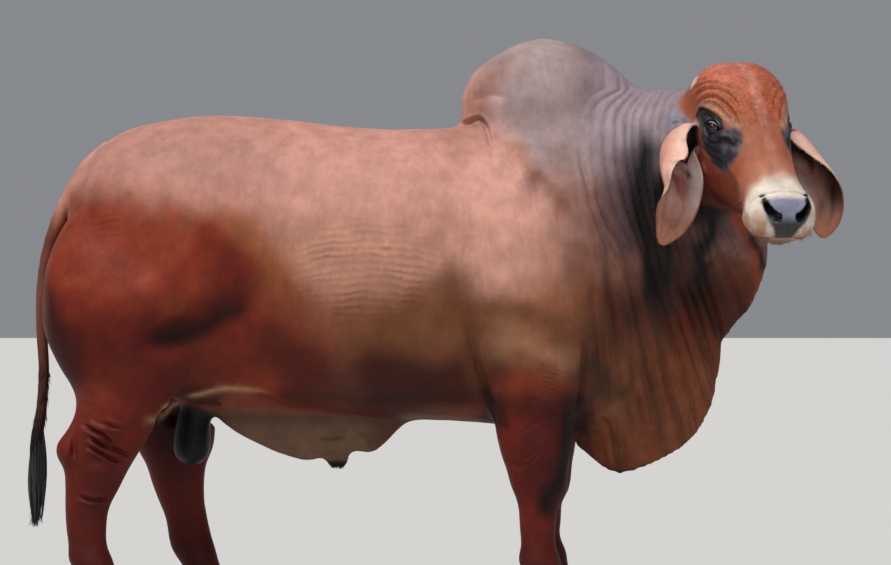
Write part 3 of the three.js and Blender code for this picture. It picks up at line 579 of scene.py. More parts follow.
# How far valleys are filled: fully on the body, less on the face and at the hump's sharp rear.
fill = np.where((in_head[:, 0] > 60) & (in_head[:, 2] > -330), 0.45, 1.0)
hump_rear = np.exp(-(((base[:, 0] - 90) / 60) ** 2) - ((base[:, 2] - 1490) / 60) ** 2)
fill = fill * (1 - 0.8 * hump_rear)
fill_valleys(hide, 70, fill, 0.25, 8)
print("valleys filled over", int((fill > 0.9).sum()), "points")

# %% [markdown]
# ## Finer net, muscles and bones
#
# One subdivision halves the net's squares to about five millimetres. On it the large forms that
# show through a bull's skin are drawn as soft swellings and hollows: each is a bell-shaped push
# along the surface, given by its middle, its reach along three directions and its height.

# %% Swellings
subdivide = hide.modifiers.new("finer", "SUBSURF")
subdivide.levels = subdivide.render_levels = 1
apply_modifiers(hide)
set_points(hide, points_of(hide) - 2.0 * normals_of(hide))


def both_sides(points):
    """The points with their left-hand ones moved over to the animal's right."""
    return points * [1, -1, 1] if points.ndim == 1 else np.stack(
        [points[:, 0], -np.abs(points[:, 1]), points[:, 2]], -1
    )


def bell(places, middle, reach, tilt=0.0):
    """A bell-shaped weight round a middle, whose reach differs along X, Y and Z.

    The tilt turns it in the side view, in degrees, nose down for a positive one.
    """
    away = places - np.asarray(middle, float)
    c, s = np.cos(np.radians(tilt)), np.sin(np.radians(tilt))
    x = c * away[:, 0] - s * away[:, 2]
    z = s * away[:, 0] + c * away[:, 2]
    turned = np.stack([x, away[:, 1], z], -1) / np.asarray(reach, float)
    return np.exp(-(turned**2).sum(1))


# Middle X, Y, Z, reach along X, Y, Z, tilt and height; the same on both sides of the body.
SWELLINGS = [
    ([-900, -290, 1010], [190, 150, 190], 20, 14), ([-760, -320, 1120], [130, 130, 110], 10, 8),
    ([-640, -310, 830], [80, 120, 70], 0, -8), ([-760, -300, 866], [130, 120, 50], -22, -32),
    ([-600, -310, 915], [120, 120, 60], -10, -12), ([-780, -320, 985], [150, 150, 70], -12, 16),
    ([-930, -300, 860], [90, 120, 110], 0, 8), ([-820, -250, 720], [100, 90, 60], -20, 9),
    ([-940, -200, 720], [60, 90, 90], 0, 10), ([-560, -320, 1390], [170, 120, 70], 0, -6),
    ([-260, -250, 1440], [200, 80, 60], 0, 5), ([-420, -380, 1130], [160, 90, 130], 0, -10),
    ([-60, -400, 960], [240, 120, 170], 0, 9), ([60, -330, 1330], [110, 120, 120], 0, -7),
    ([262, -200, 1420], [52, 90, 110], 25, -14), ([320, -280, 1290], [44, 90, 90], 22, -12),
    ([382, -300, 1150], [44, 90, 100], 10, -9), ([200, -320, 1180], [120, 120, 110], 20, 12),
    ([420, -310, 950], [80, 100, 90], 0, 14), ([300, -330, 860], [140, 110, 130], 0, 12),
    ([420, -250, 1290], [90, 90, 120], 0, 6), ([90, -390, 1040], [70, 100, 190], -14, -12),
    ([390, -290, 730], [70, 90, 60], 10, 9), ([250, -300, 690], [60, 90, 40], 0, 8),
    ([300, -290, 600], [120, 90, 40], 0, -8), ([330, -270, 500], [40, 60, 60], 0, 6),
    ([240, -270, 520], [40, 60, 70], 0, 4), ([-190, -330, 1150], [60, 120, 40], -30, -5),
    ([-330, -330, 1290], [120, 120, 40], -20, -6), ([-330, -330, 1175], [90, 120, 36], -30, -5),
    ([353, -262, 356], [26, 44, 46], 0, 8), ([290, -262, 440], [36, 50, 60], 0, 5),
    ([-1102, -226, 516], [26, 60, 38], 0, 14), ([-1068, -250, 520], [15, 50, 56], 0, -15),
    ([-1040, -270, 620], [30, 50, 70], -12, -6), ([-993, -283, 456], [30, 40, 26], 0, 7),
    ([-1010, -280, 480], [24, 40, 20], 0, -6),
]
full = points_of(hide)
mirrored = both_sides(full)
rise = np.zeros(len(full))
for middle, reach, tilt, height in SWELLINGS:
    rise += height * bell(mirrored, middle, reach, tilt)
# The loin is flat, with a shallow furrow along the spine.
spine = np.exp(-((full[:, 1] / 34) ** 2)) * ramp(1380, 1440, full[:, 2])
rise -= 9 * spine * ramp(-820, -640, full[:, 0]) * ramp(40, -160, full[:, 0])
# Loose skin is never quite even.
rise += 2.6 * noise(full, 120, 1) + 1.2 * noise(full, 55, 2)
set_points(hide, full + rise[:, None] * normals_of(hide))
print("net:", len(full), "points, swellings up to", round(float(rise.max()), 1), "mm")

# %% [markdown]
# ## Creases
#
# A crease is a valley along a bent line on the skin. Its depth falls off with the distance from
# the line, quickly for a sharp crease, and it has a low swelling on each side, because the skin
# that sinks in one place stands up beside it. The ends of the line taper away.

# %% Creases
def near_line(places, line):
    """The distance of each place from a bent line, and its share of the way along it."""
    line = np.asarray(line, float)
    lengths = np.linalg.norm(line[1:] - line[:-1], axis=1)
    before = np.concatenate([[0], np.cumsum(lengths)])
    best = np.full(len(places), np.inf)
    share = np.zeros(len(places))
    for k in range(len(lengths)):
        way = line[k + 1] - line[k]
        u = np.clip(((places - line[k]) @ way) / lengths[k] ** 2, 0, 1)
        gap = np.linalg.norm(places - line[k] - u[:, None] * way, axis=1)
        closer = gap < best
        best = np.where(closer, gap, best)
        share = np.where(closer, (before[k] + u * lengths[k]) / before[-1], share)
    return best, share


def rounded(line, count=24):
    """A bent line with its corners rounded, by the same cubic as the stations' tables."""
    line = np.asarray(line, float)
    rows = np.column_stack([np.arange(len(line)), line])
    return through(rows, np.linspace(0, len(line) - 1, count))[:, 1:]


def crease(places, line, width, depth, lip=0.35, taper=0.25):
    """The rise, mostly negative, that a crease along a line gives to each place."""
    line = rounded(line)
    reach = 4.5 * width
    low, high = line.min(0) - reach, line.max(0) + reach
    chosen = np.flatnonzero(((places > low) & (places < high)).all(1))
    rise = np.zeros(len(places))
    if not len(chosen):
        return rise
    gap, share = near_line(places[chosen], line)
    ends = ramp(0, taper, share) * ramp(0, taper, 1 - share)
    valley = np.exp(-gap / width * 1.3)
    swell = (gap / width) ** 2 * np.exp(-((gap / width - 0.6) ** 2) * 0.9)
    rise[chosen] = depth * ends * (lip * swell - valley)
    return rise


# Points X, Y, Z along the crease, width, depth and lip. These are alike on both sides.
BODY_CREASES = {
    "hump rear": ([[70, -40, 1492], [108, -93, 1500], [132, -111, 1508], [148, -119, 1500],
        [164, -139, 1472], [177, -205, 1415]], 9, 20, 0.3),
    "hump rear low": ([[177, -205, 1415], [182, -241, 1377], [192, -280, 1320]], 9, 5, 0.3),
    "hump rear line": ([[129, -112, 1494], [133, -194, 1427]], 6, 4, 0.3),
    "hump dimple": ([[110, -96, 1560], [156, -118, 1578], [183, -127, 1580], [225, -139, 1566]],
        20, 10, 0.1),
    "shoulder line": ([[367, -292, 1250], [393, -309, 1131], [414, -312, 1062]], 8, 4, 0.4),
    "neck base": ([[444, -200, 1440], [441, -219, 1394], [459, -247, 1318], [474, -266, 1243],
        [501, -273, 1168], [533, -266, 1115], [582, -241, 1041], [598, -231, 998]], 10, 8, 0.4),
    "neck base second": ([[470, -235, 1330], [500, -262, 1240], [540, -255, 1160],
        [600, -236, 1080], [640, -220, 1000]], 10, 6, 0.4),
    "behind the arm": ([[88, -352, 900], [121, -336, 818], [145, -298, 737], [165, -264, 680],
        [182, -230, 607], [200, -227, 511]], 13, 14, 0.35),
    "behind the arm second": ([[205, -270, 690], [214, -268, 620], [222, -262, 540]], 8, 5, 0.4),
    "in front of the arm": ([[456, -300, 860], [453, -278, 781], [448, -262, 720],
        [436, -225, 630], [425, -200, 560]], 14, 18, 0.25),
    "arm rear": ([[172, -262, 740], [184, -262, 660], [196, -258, 580], [204, -250, 530]],
        7, 7, 0.6),
    "arm rear second": ([[196, -282, 730], [206, -280, 650], [214, -275, 570]], 7, 5, 0.6),
    "arm rear third": ([[222, -296, 700], [226, -292, 630], [238, -285, 560]], 7, 3.5, 0.6),
    "forearm upper": ([[238, -296, 640], [262, -306, 664], [300, -314, 668], [330, -308, 640]],
        7, 3, 0.6),
    "forearm lower": ([[300, -312, 650], [340, -306, 628], [390, -284, 624], [428, -256, 640]],
        8, 4, 0.6),
    "forearm slant": ([[250, -290, 560], [300, -296, 590], [350, -288, 636]], 6, 2.5, 0.5),
    "knee upper": ([[222, -258, 480], [262, -278, 466], [306, -282, 480], [340, -272, 492]],
        8, 4, 0.6),
    "knee rear": ([[232, -250, 420], [262, -272, 434], [300, -284, 432]], 7, 3.5, 0.6),
    "rib dent": ([[-236, -368, 1092], [-226, -368, 1108], [-216, -368, 1120]], 12, 5, 0.5),
    "rib dent second": ([[-156, -368, 1124], [-146, -368, 1110], [-132, -368, 1100]], 12, 6, 0.5),
    "rib line": ([[10, -364, 1236], [8, -366, 1190], [4, -368, 1124]], 4, 1.8, 0.5),
    "rib line second": ([[42, -364, 1128], [38, -366, 1080], [30, -366, 1030]], 5, 2.6, 0.5),
    "rib line third": ([[88, -350, 1190], [90, -354, 1120], [86, -358, 1040]], 5, 2.2, 0.5),
    "dewlap curl": ([[485, -132, 612], [519, -83, 596], [539, -56, 560], [545, -37, 505],
        [555, -17, 455]], 9, 7, 0.5),
    "dewlap fold": ([[430, -44, 552], [471, -56, 560], [504, -54, 552]], 9, 9, 0.4),
    "stifle": ([[-885, -331, 800], [-850, -328, 822], [-812, -327, 852], [-776, -320, 884],
        [-716, -313, 905], [-640, -310, 918]], 22, 12, 0.0),
    "thigh line": ([[-860, -331, 770], [-832, -331, 752], [-790, -325, 738]], 8, 3, 0.5),
    "hip": ([[-785, -318, 1140], [-771, -320, 1120], [-741, -323, 1089], [-744, -321, 1041],
        [-759, -319, 1005]], 10, 4, 0.5),
    "gaskin rear": ([[-1075, -240, 668], [-1050, -270, 656], [-1010, -289, 640]], 9, 6, 0.5),
    "hock upper": ([[-1050, -270, 596], [-1020, -285, 578], [-983, -296, 560], [-957, -290, 532],
        [-930, -282, 515]], 9, 14, 0.7),
    "hock middle": ([[-1030, -284, 560], [-1000, -290, 540], [-965, -290, 520], [-923, -275, 506],
        [-896, -250, 500]], 9, 15, 0.7),
    "hock lower": ([[-1040, -284, 528], [-1000, -288, 515], [-960, -286, 492], [-915, -262, 478]],
        8, 12, 0.7),
    "hock side": ([[-985, -296, 600], [-950, -294, 585], [-915, -280, 580]], 8, 9, 0.7),
    "under the hock": ([[-1062, -262, 380], [-1035, -270, 368], [-1000, -268, 362],
        [-965, -250, 374]], 8, 10, 0.6),
    "hock tendon": ([[-1066, -262, 600], [-1070, -268, 548], [-1070, -268, 480]], 11, 13, 0.4),
    "sheath ring": ([[-227, -46, 568], [-200, -41, 548], [-186, -30, 515], [-192, -20, 492]],
        8, 6, 0.6),
    "sheath ring second": ([[-250, -46, 556], [-222, -44, 530], [-216, -30, 498]], 7, 6, 0.6),
    "sheath top": ([[-350, -46, 548], [-310, -44, 540], [-280, -44, 546], [-256, -42, 530]],
        8, 7, 0.5),
    "sheath mouth": ([[-380, -44, 512], [-345, -34, 500], [-318, -30, 498], [-280, -40, 504]],
        7, 6, 0.5),
    "ear base": ([[704, -226, 1500], [730, -238, 1506], [764, -262, 1482]], 6, 6, 0.6),
    "ear base second": ([[712, -230, 1484], [740, -246, 1490], [768, -268, 1464]], 6, 6, 0.6),
    "ear base third": ([[716, -236, 1466], [742, -250, 1474], [766, -270, 1450]], 6, 5, 0.6),
}
full = points_of(hide)
mirrored = both_sides(full)
rise = np.zeros(len(full))
for line, width, depth, lip in BODY_CREASES.values():
    rise += crease(mirrored, line, width, depth, lip)
# The skin of the flank hangs over the belly: below its edge the surface lies deeper.
FLANK_RIM = np.array([[-830, 615], [-801, 634], [-725, 665], [-622, 691], [-536, 684], [-400, 640]])
flank_z = np.interp(full[:, 0], *FLANK_RIM.T)
flank = ramp(10, -26, full[:, 2] - flank_z) * ramp(-840, -800, full[:, 0])
flank *= ramp(-420, -540, full[:, 0]) * ramp(70, 110, -mirrored[:, 1])
flank *= ramp(560, 600, full[:, 2])
rise -= 30 * flank
set_points(hide, full + rise[:, None] * normals_of(hide))
print("creases:", len(BODY_CREASES), "deepest", round(float(-rise.min()), 1), "mm")

# %% [markdown]
# ## Neck folds and dewlap pleats
#
# The head is turned to the right, so the skin of the neck is gathered into upright folds there.
# The folds are written by the places of their valleys; between two valleys the skin is round.
# The dewlap's pleats run from its root to its free edge, so the number of the station line on
# which a point lies tells which pleat it is in.

# %% Folds in rows
def round_folds(phase, sharp=0.62):
    """Round ridges with narrow valleys at whole numbers, from 0 in a valley to 1 on a ridge."""
    return np.abs(np.sin(np.pi * phase)) ** sharp


# X of the valleys at the height of 1372, and how far they lean forward at other heights.
NECK_VALLEYS = [400, 444, 481, 516, 551, 583, 604, 631, 655, 680, 704, 728, 752, 776, 800, 830]
NECK_LEAN = [
    [1000, 150], [1050, 118], [1110, 92], [1170, 58], [1240, 30], [1310, 14], [1372, 0], [1480, -3],
    [1530, 8], [1563, 34], [1600, 86],
]


def neck_folds(places):
    """The rise of the folds on the right side of the neck."""
    x, y, z = places.T
    lean = through(NECK_LEAN, z)[:, 1] * np.interp(x, [440, 560, 700], [0.6, 1, 0.55])
    wander = 5 * noise(places * [1, 1, 0.35], 60, 11)
    phase = np.interp(x - lean + wander, NECK_VALLEYS, np.arange(len(NECK_VALLEYS)))
    weight = 0.25 + 0.75 * ramp(430, 570, x - 0.5 * lean)
    weight *= ramp(400, 450, x - lean) * ramp(960, 880, x)
    weight *= ramp(0, -90, y + 0.4 * (x - 500)) * ramp(1010, 1160, z)
    weight *= 0.78 + 0.22 * noise(places * [1, 1, 0.4], 90, 12)
    weight *= 1 - ramp(690, 740, x) * ramp(1500, 1545, z)
    return 13 * weight * (round_folds(phase, 0.5) - 0.64)


def dewlap_place(places):
    """For each place the number of the dewlap line it lies on, and its share of the way out."""
    count = 321
    row = through(DEWLAP, evenly(DEWLAP, count))
    edge, root = row[:, [1, 3]], row[:, [4, 6]]
    way = edge - root
    across = np.stack([-way[:, 1], way[:, 0]], -1)
    flat = places[:, [0, 2]]
    side = flat @ across.T - (root * across).sum(1)
    passed = np.clip((side < 0).sum(1), 1, count - 1)
    rows = np.arange(len(places))
    a, b = side[rows, passed - 1], side[rows, passed]
    share = np.clip(a / np.where(np.abs(a - b) < 1e-9, 1, a - b), 0, 1)
    number = (passed - 1 + share) / (count - 1) * (len(DEWLAP) - 1)
    start = root[passed - 1] + (root[passed] - root[passed - 1]) * share[:, None]
    line = way[passed - 1] + (way[passed] - way[passed - 1]) * share[:, None]
    out = ((flat - start) * line).sum(1) / (line**2).sum(1)
    return number, out


def dewlap_pleats(places):
    """The rise of the pleats, fine at the free edge and broad towards the root."""
    number, out = dewlap_place(places)
    wander = 0.16 * noise(places, 150, 21) + 0.05 * noise(places, 50, 22)
    side = np.where(places[:, 1] > 0, 0.37, 0.0)
    fine = round_folds((number + side + wander) * 2.1, 0.7) - 0.6
    broad = np.sin(2 * np.pi * ((number + side + wander) * 0.62 + 0.2))
    weight = ramp(-0.2, 0.4, out) * ramp(1.5, 1.2, out)
    weight *= ramp(420, 520, places[:, 0])
    return weight * (5.5 * ramp(0.1, 0.8, out) * fine + 10 * broad)


full = points_of(hide)
x, y, z = full.T
rise = np.zeros(len(full))
front = np.flatnonzero((x > 380) & (x < 1040) & (z > 400))
in_head = head_places(full[front])
# The face is left out: what lies ahead of the jaw's edge, above the throat and near the middle.
face = ramp(-130, -60, in_head[:, 0]) * ramp(-350, -300, in_head[:, 2])
face *= ramp(185, 160, np.abs(in_head[:, 1]))
rise[front] += neck_folds(full[front]) * (1 - face)
full = full + rise[:, None] * normals_of(hide)
# The pleats push the dewlap sideways, so that its free edge stays a clean line.
low = (z[front] < 1330) & (x[front] > 400)
under = front[low]
push = dewlap_pleats(full[under]) * (1 - face[low])
full[under] += push[:, None] * normals_of(hide)[under] * [0.25, 1, 0.25]
set_points(hide, full)
print("folds over", int((np.abs(rise) > 0.5).sum()), "points")

# %% [markdown]
# ## Ears and tail
#
# Each ear is a thin cup of gristle: a ring goes over its back from rim to rim and returns over
# its inner face. An exact union with the skin keeps it one surface. The tail lies in the groove
# of the rump and is joined in the same way.

# %% Ear and tail lofts
EAR_LEVELS, EAR_COLUMNS = 110, 45
EAR_ACROSS = np.sin(np.linspace(-1, 1, EAR_COLUMNS) * np.pi / 2)


def ear(rows):
    """A closed cup through the ear's stations, with ridges of gristle on its inner face."""
    t = evenly(rows, EAR_LEVELS)
    row = through(rows, t)
    ahead = through(rows, np.minimum(t + 0.03, 1))
    behind = through(rows, np.maximum(t - 0.03, 0))
    back = row[:, 1:4]
    along = unit(ahead[:, 1:4] - behind[:, 1:4])
    turn, tilt, curl = np.radians(row[:, 4]), np.radians(row[:, 5]), np.radians(row[:, 7])
    wish = np.stack([np.cos(turn) * np.cos(tilt), -np.sin(turn) * np.cos(tilt), np.sin(tilt)], -1)
    opening = unit(wish - along * (wish * along).sum(1)[:, None])
    over = unit(np.cross(opening, along))
    radius, thick = row[:, 6] / curl, row[:, 8]
    share = EAR_ACROSS
    angle = share[None] * curl[:, None] / 2

    def wall(reach):
        """One wall of the cup, as far from its middle line as the reach says."""
        out = (radius[:, None] - reach * np.cos(angle))[..., None] * opening[:, None]
        return back[:, None] + out + (reach * np.sin(angle))[..., None] * over[:, None]

    body = ramp(0.05, 0.3, t) * ramp(1, 0.75, t)
    ridges = 2.4 * body[:, None] * np.cos(3.2 * np.pi * share + 1.4 * t[:, None]) * (1 - share**4)
    waves = 2.0 * np.sin(9 * t)[:, None] * share**2
    outer = wall(radius[:, None] + waves)
    inner = wall(radius[:, None] + waves - thick[:, None] * (1 - 0.5 * share**4) - ridges)
    return loft(np.concatenate([outer, inner[:, ::-1]], axis=1))


def tail():
    """The tail: round rings down its path, a little swollen at each bone."""
    z, x, radius = through(TAIL, evenly(TAIL, 150)).T
    path = np.stack([x, 0 * x, z], -1)
    along = unit(np.gradient(path, axis=0))
    radius = radius * (1 + 0.03 * np.cos(2 * np.pi * z / 52) * ramp(700, 1200, z))
    flat = radius * 0.94
    rings = ovals(path, Y_AXIS, np.cross(along, Y_AXIS), radius, flat, flat, 2.0, 28)
    return loft(rings, 12, 10)


def join(whole, points, faces, name):
    """Adds a closed form to an object by an exact union."""
    form = mesh_object(name, metres(points), faces)
    union = whole.modifiers.new(name, "BOOLEAN")
    union.operation = "UNION"
    union.solver = "MANIFOLD"
    union.object = form
    apply_modifiers(whole)
    mesh = form.data
    bpy.data.objects.remove(form)
    bpy.data.meshes.remove(mesh)


# %% [markdown]
# ## The head, finer
#
# The head gets the most care, so its faces are split once more before anything is joined to it.
# Its swellings and creases are written in the head's frame and mirrored from right to left.

# %% Finer faces on the head
def split_faces(thing, chosen):
    """Splits each chosen face into four, and the faces beside them to match."""
    net = bmesh.new()
    net.from_mesh(thing.data)
    net.faces.ensure_lookup_table()
    edges = {edge for k in np.flatnonzero(chosen) for edge in net.faces[k].edges}
    bmesh.ops.subdivide_edges(net, edges=list(edges), cuts=1, use_grid_fill=True)
    net.to_mesh(thing.data)
    net.free()
    thing.data.polygons.foreach_set("use_smooth", np.ones(len(thing.data.polygons), bool))
    thing.data.update()


def head_region(places):
    """True for places on the head, ahead of the ears' roots and above the throat."""
    local = head_places(places)
    return (local[:, 0] > -110) & (local[:, 2] > -350) & (np.abs(local[:, 1]) < 190)


split_faces(hide, head_region(stations(numbers(hide.data.polygons, "center", 3))))
full = points_of(hide)
edges, degree = net_of(hide)
on_face = head_region(full)
set_points(hide, relax(full, edges, degree, 6, on_face.astype(float)))
print("points on the head:", int(on_face.sum()))

# %% Features of the head
HEAD_SWELLINGS = [
    ([150, -98, 18], [50, 28, 28], 5), ([110, -122, 0], [90, 40, 56], 5),
    ([60, -150, -70], [40, 30, 44], -6), ([180, -120, -46], [40, 30, 32], 3),
    ([250, -118, -118], [44, 30, 34], -7), ([170, -130, -205], [95, 40, 76], 10),
    ([330, -104, -96], [80, 24, 15], 5), ([352, -98, -146], [80, 34, 44], -11),
    ([330, -66, -28], [90, 16, 22], -3), ([330, 0, -2], [120, 34, 24], 3),
    ([80, -58, 56], [66, 36, 36], 5), ([110, 0, 60], [100, 9, 30], 3),
    ([40, 0, 58], [36, 24, 30], -3), ([-40, -60, 30], [44, 50, 34], 4),
    ([250, -40, 18], [50, 20, 24], -3), ([500, -92, -110], [30, 24, 30], 4),
    ([556, -52, -74], [24, 26, 26], 5), ([556, 0, -66], [22, 40, 20], 3),
    ([592, 0, -112], [16, 5, 26], -4), ([560, 0, -196], [40, 44, 20], 6),
    ([470, -60, -214], [60, 20, 14], 4), ([440, -30, -36], [60, 30, 16], 2),
]
# Points along, side and out, width, depth and lip, for the right side of the face.
HEAD_CREASES = {
    "brow": ([[92, -142, -62], [90, -138, -27], [107, -124, 7], [134, -105, 23], [173, -86, 24],
        [217, -72, 16], [246, -68, 4]], 7, 9, 0.8),
    "brow second": ([[59, -143, -56], [59, -139, -21], [80, -122, 17], [112, -97, 37],
        [146, -73, 41], [187, -58, 34], [212, -58, 24]], 7, 7, 0.8),
    "brow third": ([[17, -142, -51], [34, -134, -8], [62, -115, 28], [90, -92, 45], [123, -64, 50],
        [158, -42, 47]], 7, 5, 0.7),
    "brow fourth": ([[0, -131, -16], [30, -120, 17], [57, -99, 42], [85, -74, 54], [120, -40, 58]],
        7, 4, 0.7),
    "poll": ([[-30, -120, -10], [0, -100, 34], [30, -70, 54], [60, -30, 60]], 7, 3.5, 0.7),
    "upper lid": ([[104, -142, -52], [118, -134, -26], [150, -123, -12], [190, -108, -8],
        [226, -98, -16]], 6, 5, 0.6),
    "corner of the eye": ([[226, -106, -32], [250, -92, -22], [286, -80, -22]], 7, 3, 0.4),
    "under lid": ([[142, -138, -80], [176, -132, -88], [212, -122, -80], [246, -104, -58]],
        6, 4, 0.7),
    "under lid second": ([[136, -138, -100], [180, -133, -108], [226, -122, -102],
        [266, -104, -78]], 6, 3, 0.7),
    "under lid third": ([[150, -136, -122], [196, -130, -128], [246, -116, -120], [290, -98, -94]],
        7, 2.5, 0.6),
    "muzzle": ([[534, -98, -122], [516, -101, -94], [513, -92, -71], [513, -75, -54],
        [514, -47, -43], [513, -13, -38], [512, 12, -38]], 6, 5, 0.8),
    "muzzle second": ([[500, -104, -118], [492, -98, -84], [488, -84, -60], [488, -60, -46]],
        7, 2.5, 0.6),
    "lip": ([[430, -84, -150], [470, -92, -152], [520, -96, -154], [560, -86, -156],
        [586, -58, -152], [594, -20, -149], [595, 6, -149]], 5, 8, 0.5),
    "lip corner": ([[430, -84, -150], [414, -88, -158], [404, -88, -170]], 7, 5, 0.6),
    "cheek": ([[300, -100, -170], [330, -96, -196], [350, -84, -216]], 9, 3, 0.5),
    "throat": ([[228, -110, -226], [262, -88, -262], [284, -50, -290]], 10, 5, 0.5),
    "behind the face": ([[70, -150, -130], [90, -146, -90], [84, -144, -60]], 7, 4, 0.6),
}
MOUTH = HEAD_CREASES["lip"][0]
# The nostril: a bent line down the middle of its opening, from its outer wing inwards.
NOSTRIL = np.array([[545, -62, -60], [557, -55, -68], [567, -45, -77], [573, -34, -82],
                    [573, -27, -82]], float)


def nostril_gap(local, axes=slice(0, 3)):
    """Distance from the nostril's line, along some of the axes, and the share along the line.

    The line of the left nostril lies further out.
    """
    moved = both_sides(local) + np.outer(local[:, 1] > 0, [0, 7.0, 0])
    return near_line(moved[:, axes], rounded(NOSTRIL)[:, axes])


def nostrils(local):
    """The rise of the rims and the push, straight back into the muzzle, of the openings."""
    gap, share = nostril_gap(local)
    width = np.interp(share, [0, 0.25, 0.75, 1], [5, 9, 12, 9])
    near = gap / width
    rim = 2.2 * np.exp(-((near - 1.75) ** 2) * 3.2)
    return rim, 30 * ramp(1.25, 0.55, near)


full = points_of(hide)
chosen = np.flatnonzero(head_region(full))
local = head_places(full[chosen])
facing = normals_of(hide)[chosen] @ HEAD_AXES.T
right = both_sides(local)
rise = np.zeros(len(chosen))
for middle, reach, height in HEAD_SWELLINGS:
    rise += height * bell(right, middle, reach)
shallow = 1 - 0.8 * ramp(20, 80, local[:, 1]) * (local[:, 0] < 300)
for line, width, depth, lip in HEAD_CREASES.values():
    rise += shallow * crease(right, line, width, depth, lip)
rim, push = nostrils(local)
ahead = ramp(0.0, 0.4, facing[:, 0])
moved = local + (rise + rim * ahead)[:, None] * facing
side = np.sign(local[:, 1])
moved += (push * ahead)[:, None] * np.stack([-0.93 + 0 * side, -0.22 * side, -0.3 + 0 * side], -1)
# The skin of the nose is pebbled.
pebble = ramp(528, 545, moved[:, 0]) * ramp(-150, -130, moved[:, 2])
moved += (0.25 * pebble * noise(moved, 9, 31))[:, None] * facing
full[chosen] = on_head(moved)
set_points(hide, full)
print("head creases:", len(HEAD_CREASES) * 2)

# %% [markdown]
# ## Eyes and lids
#
# An eye sits in its socket behind two lids. The lids are a ring-shaped sheet for each eye: its
# inner edge is an almond that rides on the eyeball, and its outer edge runs into the skin. The
# skin under the ring is pushed back, so that nothing but lid and eyeball shows in the opening.

# %% Lids
ALMOND = {"half_width": 26.0, "up": 11.5, "down": 9.0, "outer": 1.8}


def almond(angle, scale):
    """Points of an almond round the eye, where 0 is its front corner and a quarter turn is up."""
    c, s = np.cos(angle), np.sin(angle)
    height = np.where(s > 0, ALMOND["up"], ALMOND["down"])
    wide = ALMOND["half_width"] * scale
    tall = height * (1 + (scale - 1) * 2.4)
    return np.stack([wide * c, tall * s * (1 - 0.3 * c * c)], -1)


def surface_index(thing):
    """A search index of an object's faces, in metres."""
    return BVHTree.FromObject(thing, bpy.context.evaluated_depsgraph_get())


def skin_height(surface, middle, axes, flat):
    """Height of the skin above flat places in an eye's frame, looking in along its gaze."""
    heights = []
    for x, y in flat.reshape(-1, 2):
        start = middle + x * axes[0] + y * axes[1] + 90 * axes[2]
        spot = surface.ray_cast(Vector(metres(start)), Vector(-axes[2]), 0.16)[0]
        heights.append(90 - 1000 * (Vector(metres(start)) - spot).length if spot else 0.0)
    return np.array(heights).reshape(flat.shape[:-1])


def lid_ring(surface, side):
    """A sheet round one eye, from the almond on the ball out to the skin, with its fold."""
    middle, axes = eye_frame(side)
    angle = circle(96)
    v = np.linspace(0, 1, 22)
    rings = np.stack([almond(angle, 1 + (ALMOND["outer"] - 1) * share**1.2) for share in v])
    skin = skin_height(surface, middle, axes, rings)
    ball = np.sqrt(np.maximum((EYE["radius"] + 1.2) ** 2 - (rings**2).sum(-1), 36.0))
    share = v[:, None]
    upper = ramp(-0.2, 0.5, np.sin(angle))[None]
    height = ball + (skin - ball) * ramp(0.12, 0.8, share)
    # The rim of the lid, then the swellings and the furrows of the upper and the lower lid.
    for swell, at, reach in [(2.4, 0.1, 0.09), (3.6 * upper, 0.28, 0.12), (-3.6 * upper, 0.5, 0.07),
                             (2.4 * upper, 0.68, 0.11), (1.6 * (1 - upper), 0.3, 0.1),
                             (-2.2 * (1 - upper), 0.52, 0.06)]:
        height = height + swell * np.exp(-(((share - at) / reach) ** 2))
    height = height - 2.2 * ramp(0.8, 1, share)
    # The edge of the lid turns in and runs back along the eyeball.
    inner = almond(angle, 0.97)
    inside = np.sqrt(np.maximum((EYE["radius"] - 0.5) ** 2 - (inner**2).sum(-1), 9.0))
    flat = np.concatenate([inner[None], rings])
    height = np.concatenate([inside[None] - 2, height])
    places = middle + flat[..., :1] * axes[0] + flat[..., 1:] * axes[1]
    return places + height[..., None] * axes[2]


def sheet_faces(rows, columns):
    """Four-sided faces of a grid that closes round in its second direction."""
    index = np.arange(rows * columns).reshape(rows, columns)
    onward = np.roll(index, -1, axis=1)
    return np.stack([index[:-1], onward[:-1], onward[1:], index[1:]], -1).reshape(-1, 4)


surface = surface_index(hide)
lid_rings = {side: lid_ring(surface, side) for side in (-1, 1)}
for side, rings in lid_rings.items():
    middle, axes = eye_frame(side)
    full = points_of(hide)
    away = (full - middle) @ axes.T
    reach = np.hypot(away[:, 0] / 43, away[:, 1] / np.where(away[:, 1] > 0, 29, 23))
    inward = ramp(1.0, 0.72, reach) * (away[:, 2] > -10) * (away[:, 2] < 60)
    set_points(hide, full - (28 * inward)[:, None] * axes[2])
print("lids:", len(lid_rings), "rings of", lid_rings[1].shape[0] * lid_rings[1].shape[1], "points")

# %% [markdown]
# ## Joining and thinning
#
# The ears and the tail come last, because the work on the head has to see the head alone. Their
# roots are filled like the other valleys. A decimate then takes faces away where the skin is
# flat, so that the piece stays small enough and keeps its creases.

# %% Joining ears and tail
join(hide, *ear(EAR_RIGHT), "ear_right_form")
join(hide, *ear(EAR_LEFT), "ear_left_form")
join(hide, *tail(), "tail_form")
full = points_of(hide)
roots = [EAR_RIGHT[0][1:4], EAR_RIGHT[1][1:4], EAR_LEFT[0][1:4], EAR_LEFT[1][1:4]]
near_root = np.exp(-np.min([((full - root) ** 2).sum(1) for root in roots], axis=0) / 80**2)
print("joined:", len(full), "points")
fill_valleys(hide, 24, near_root, 0, 2, 0.6 * near_root)

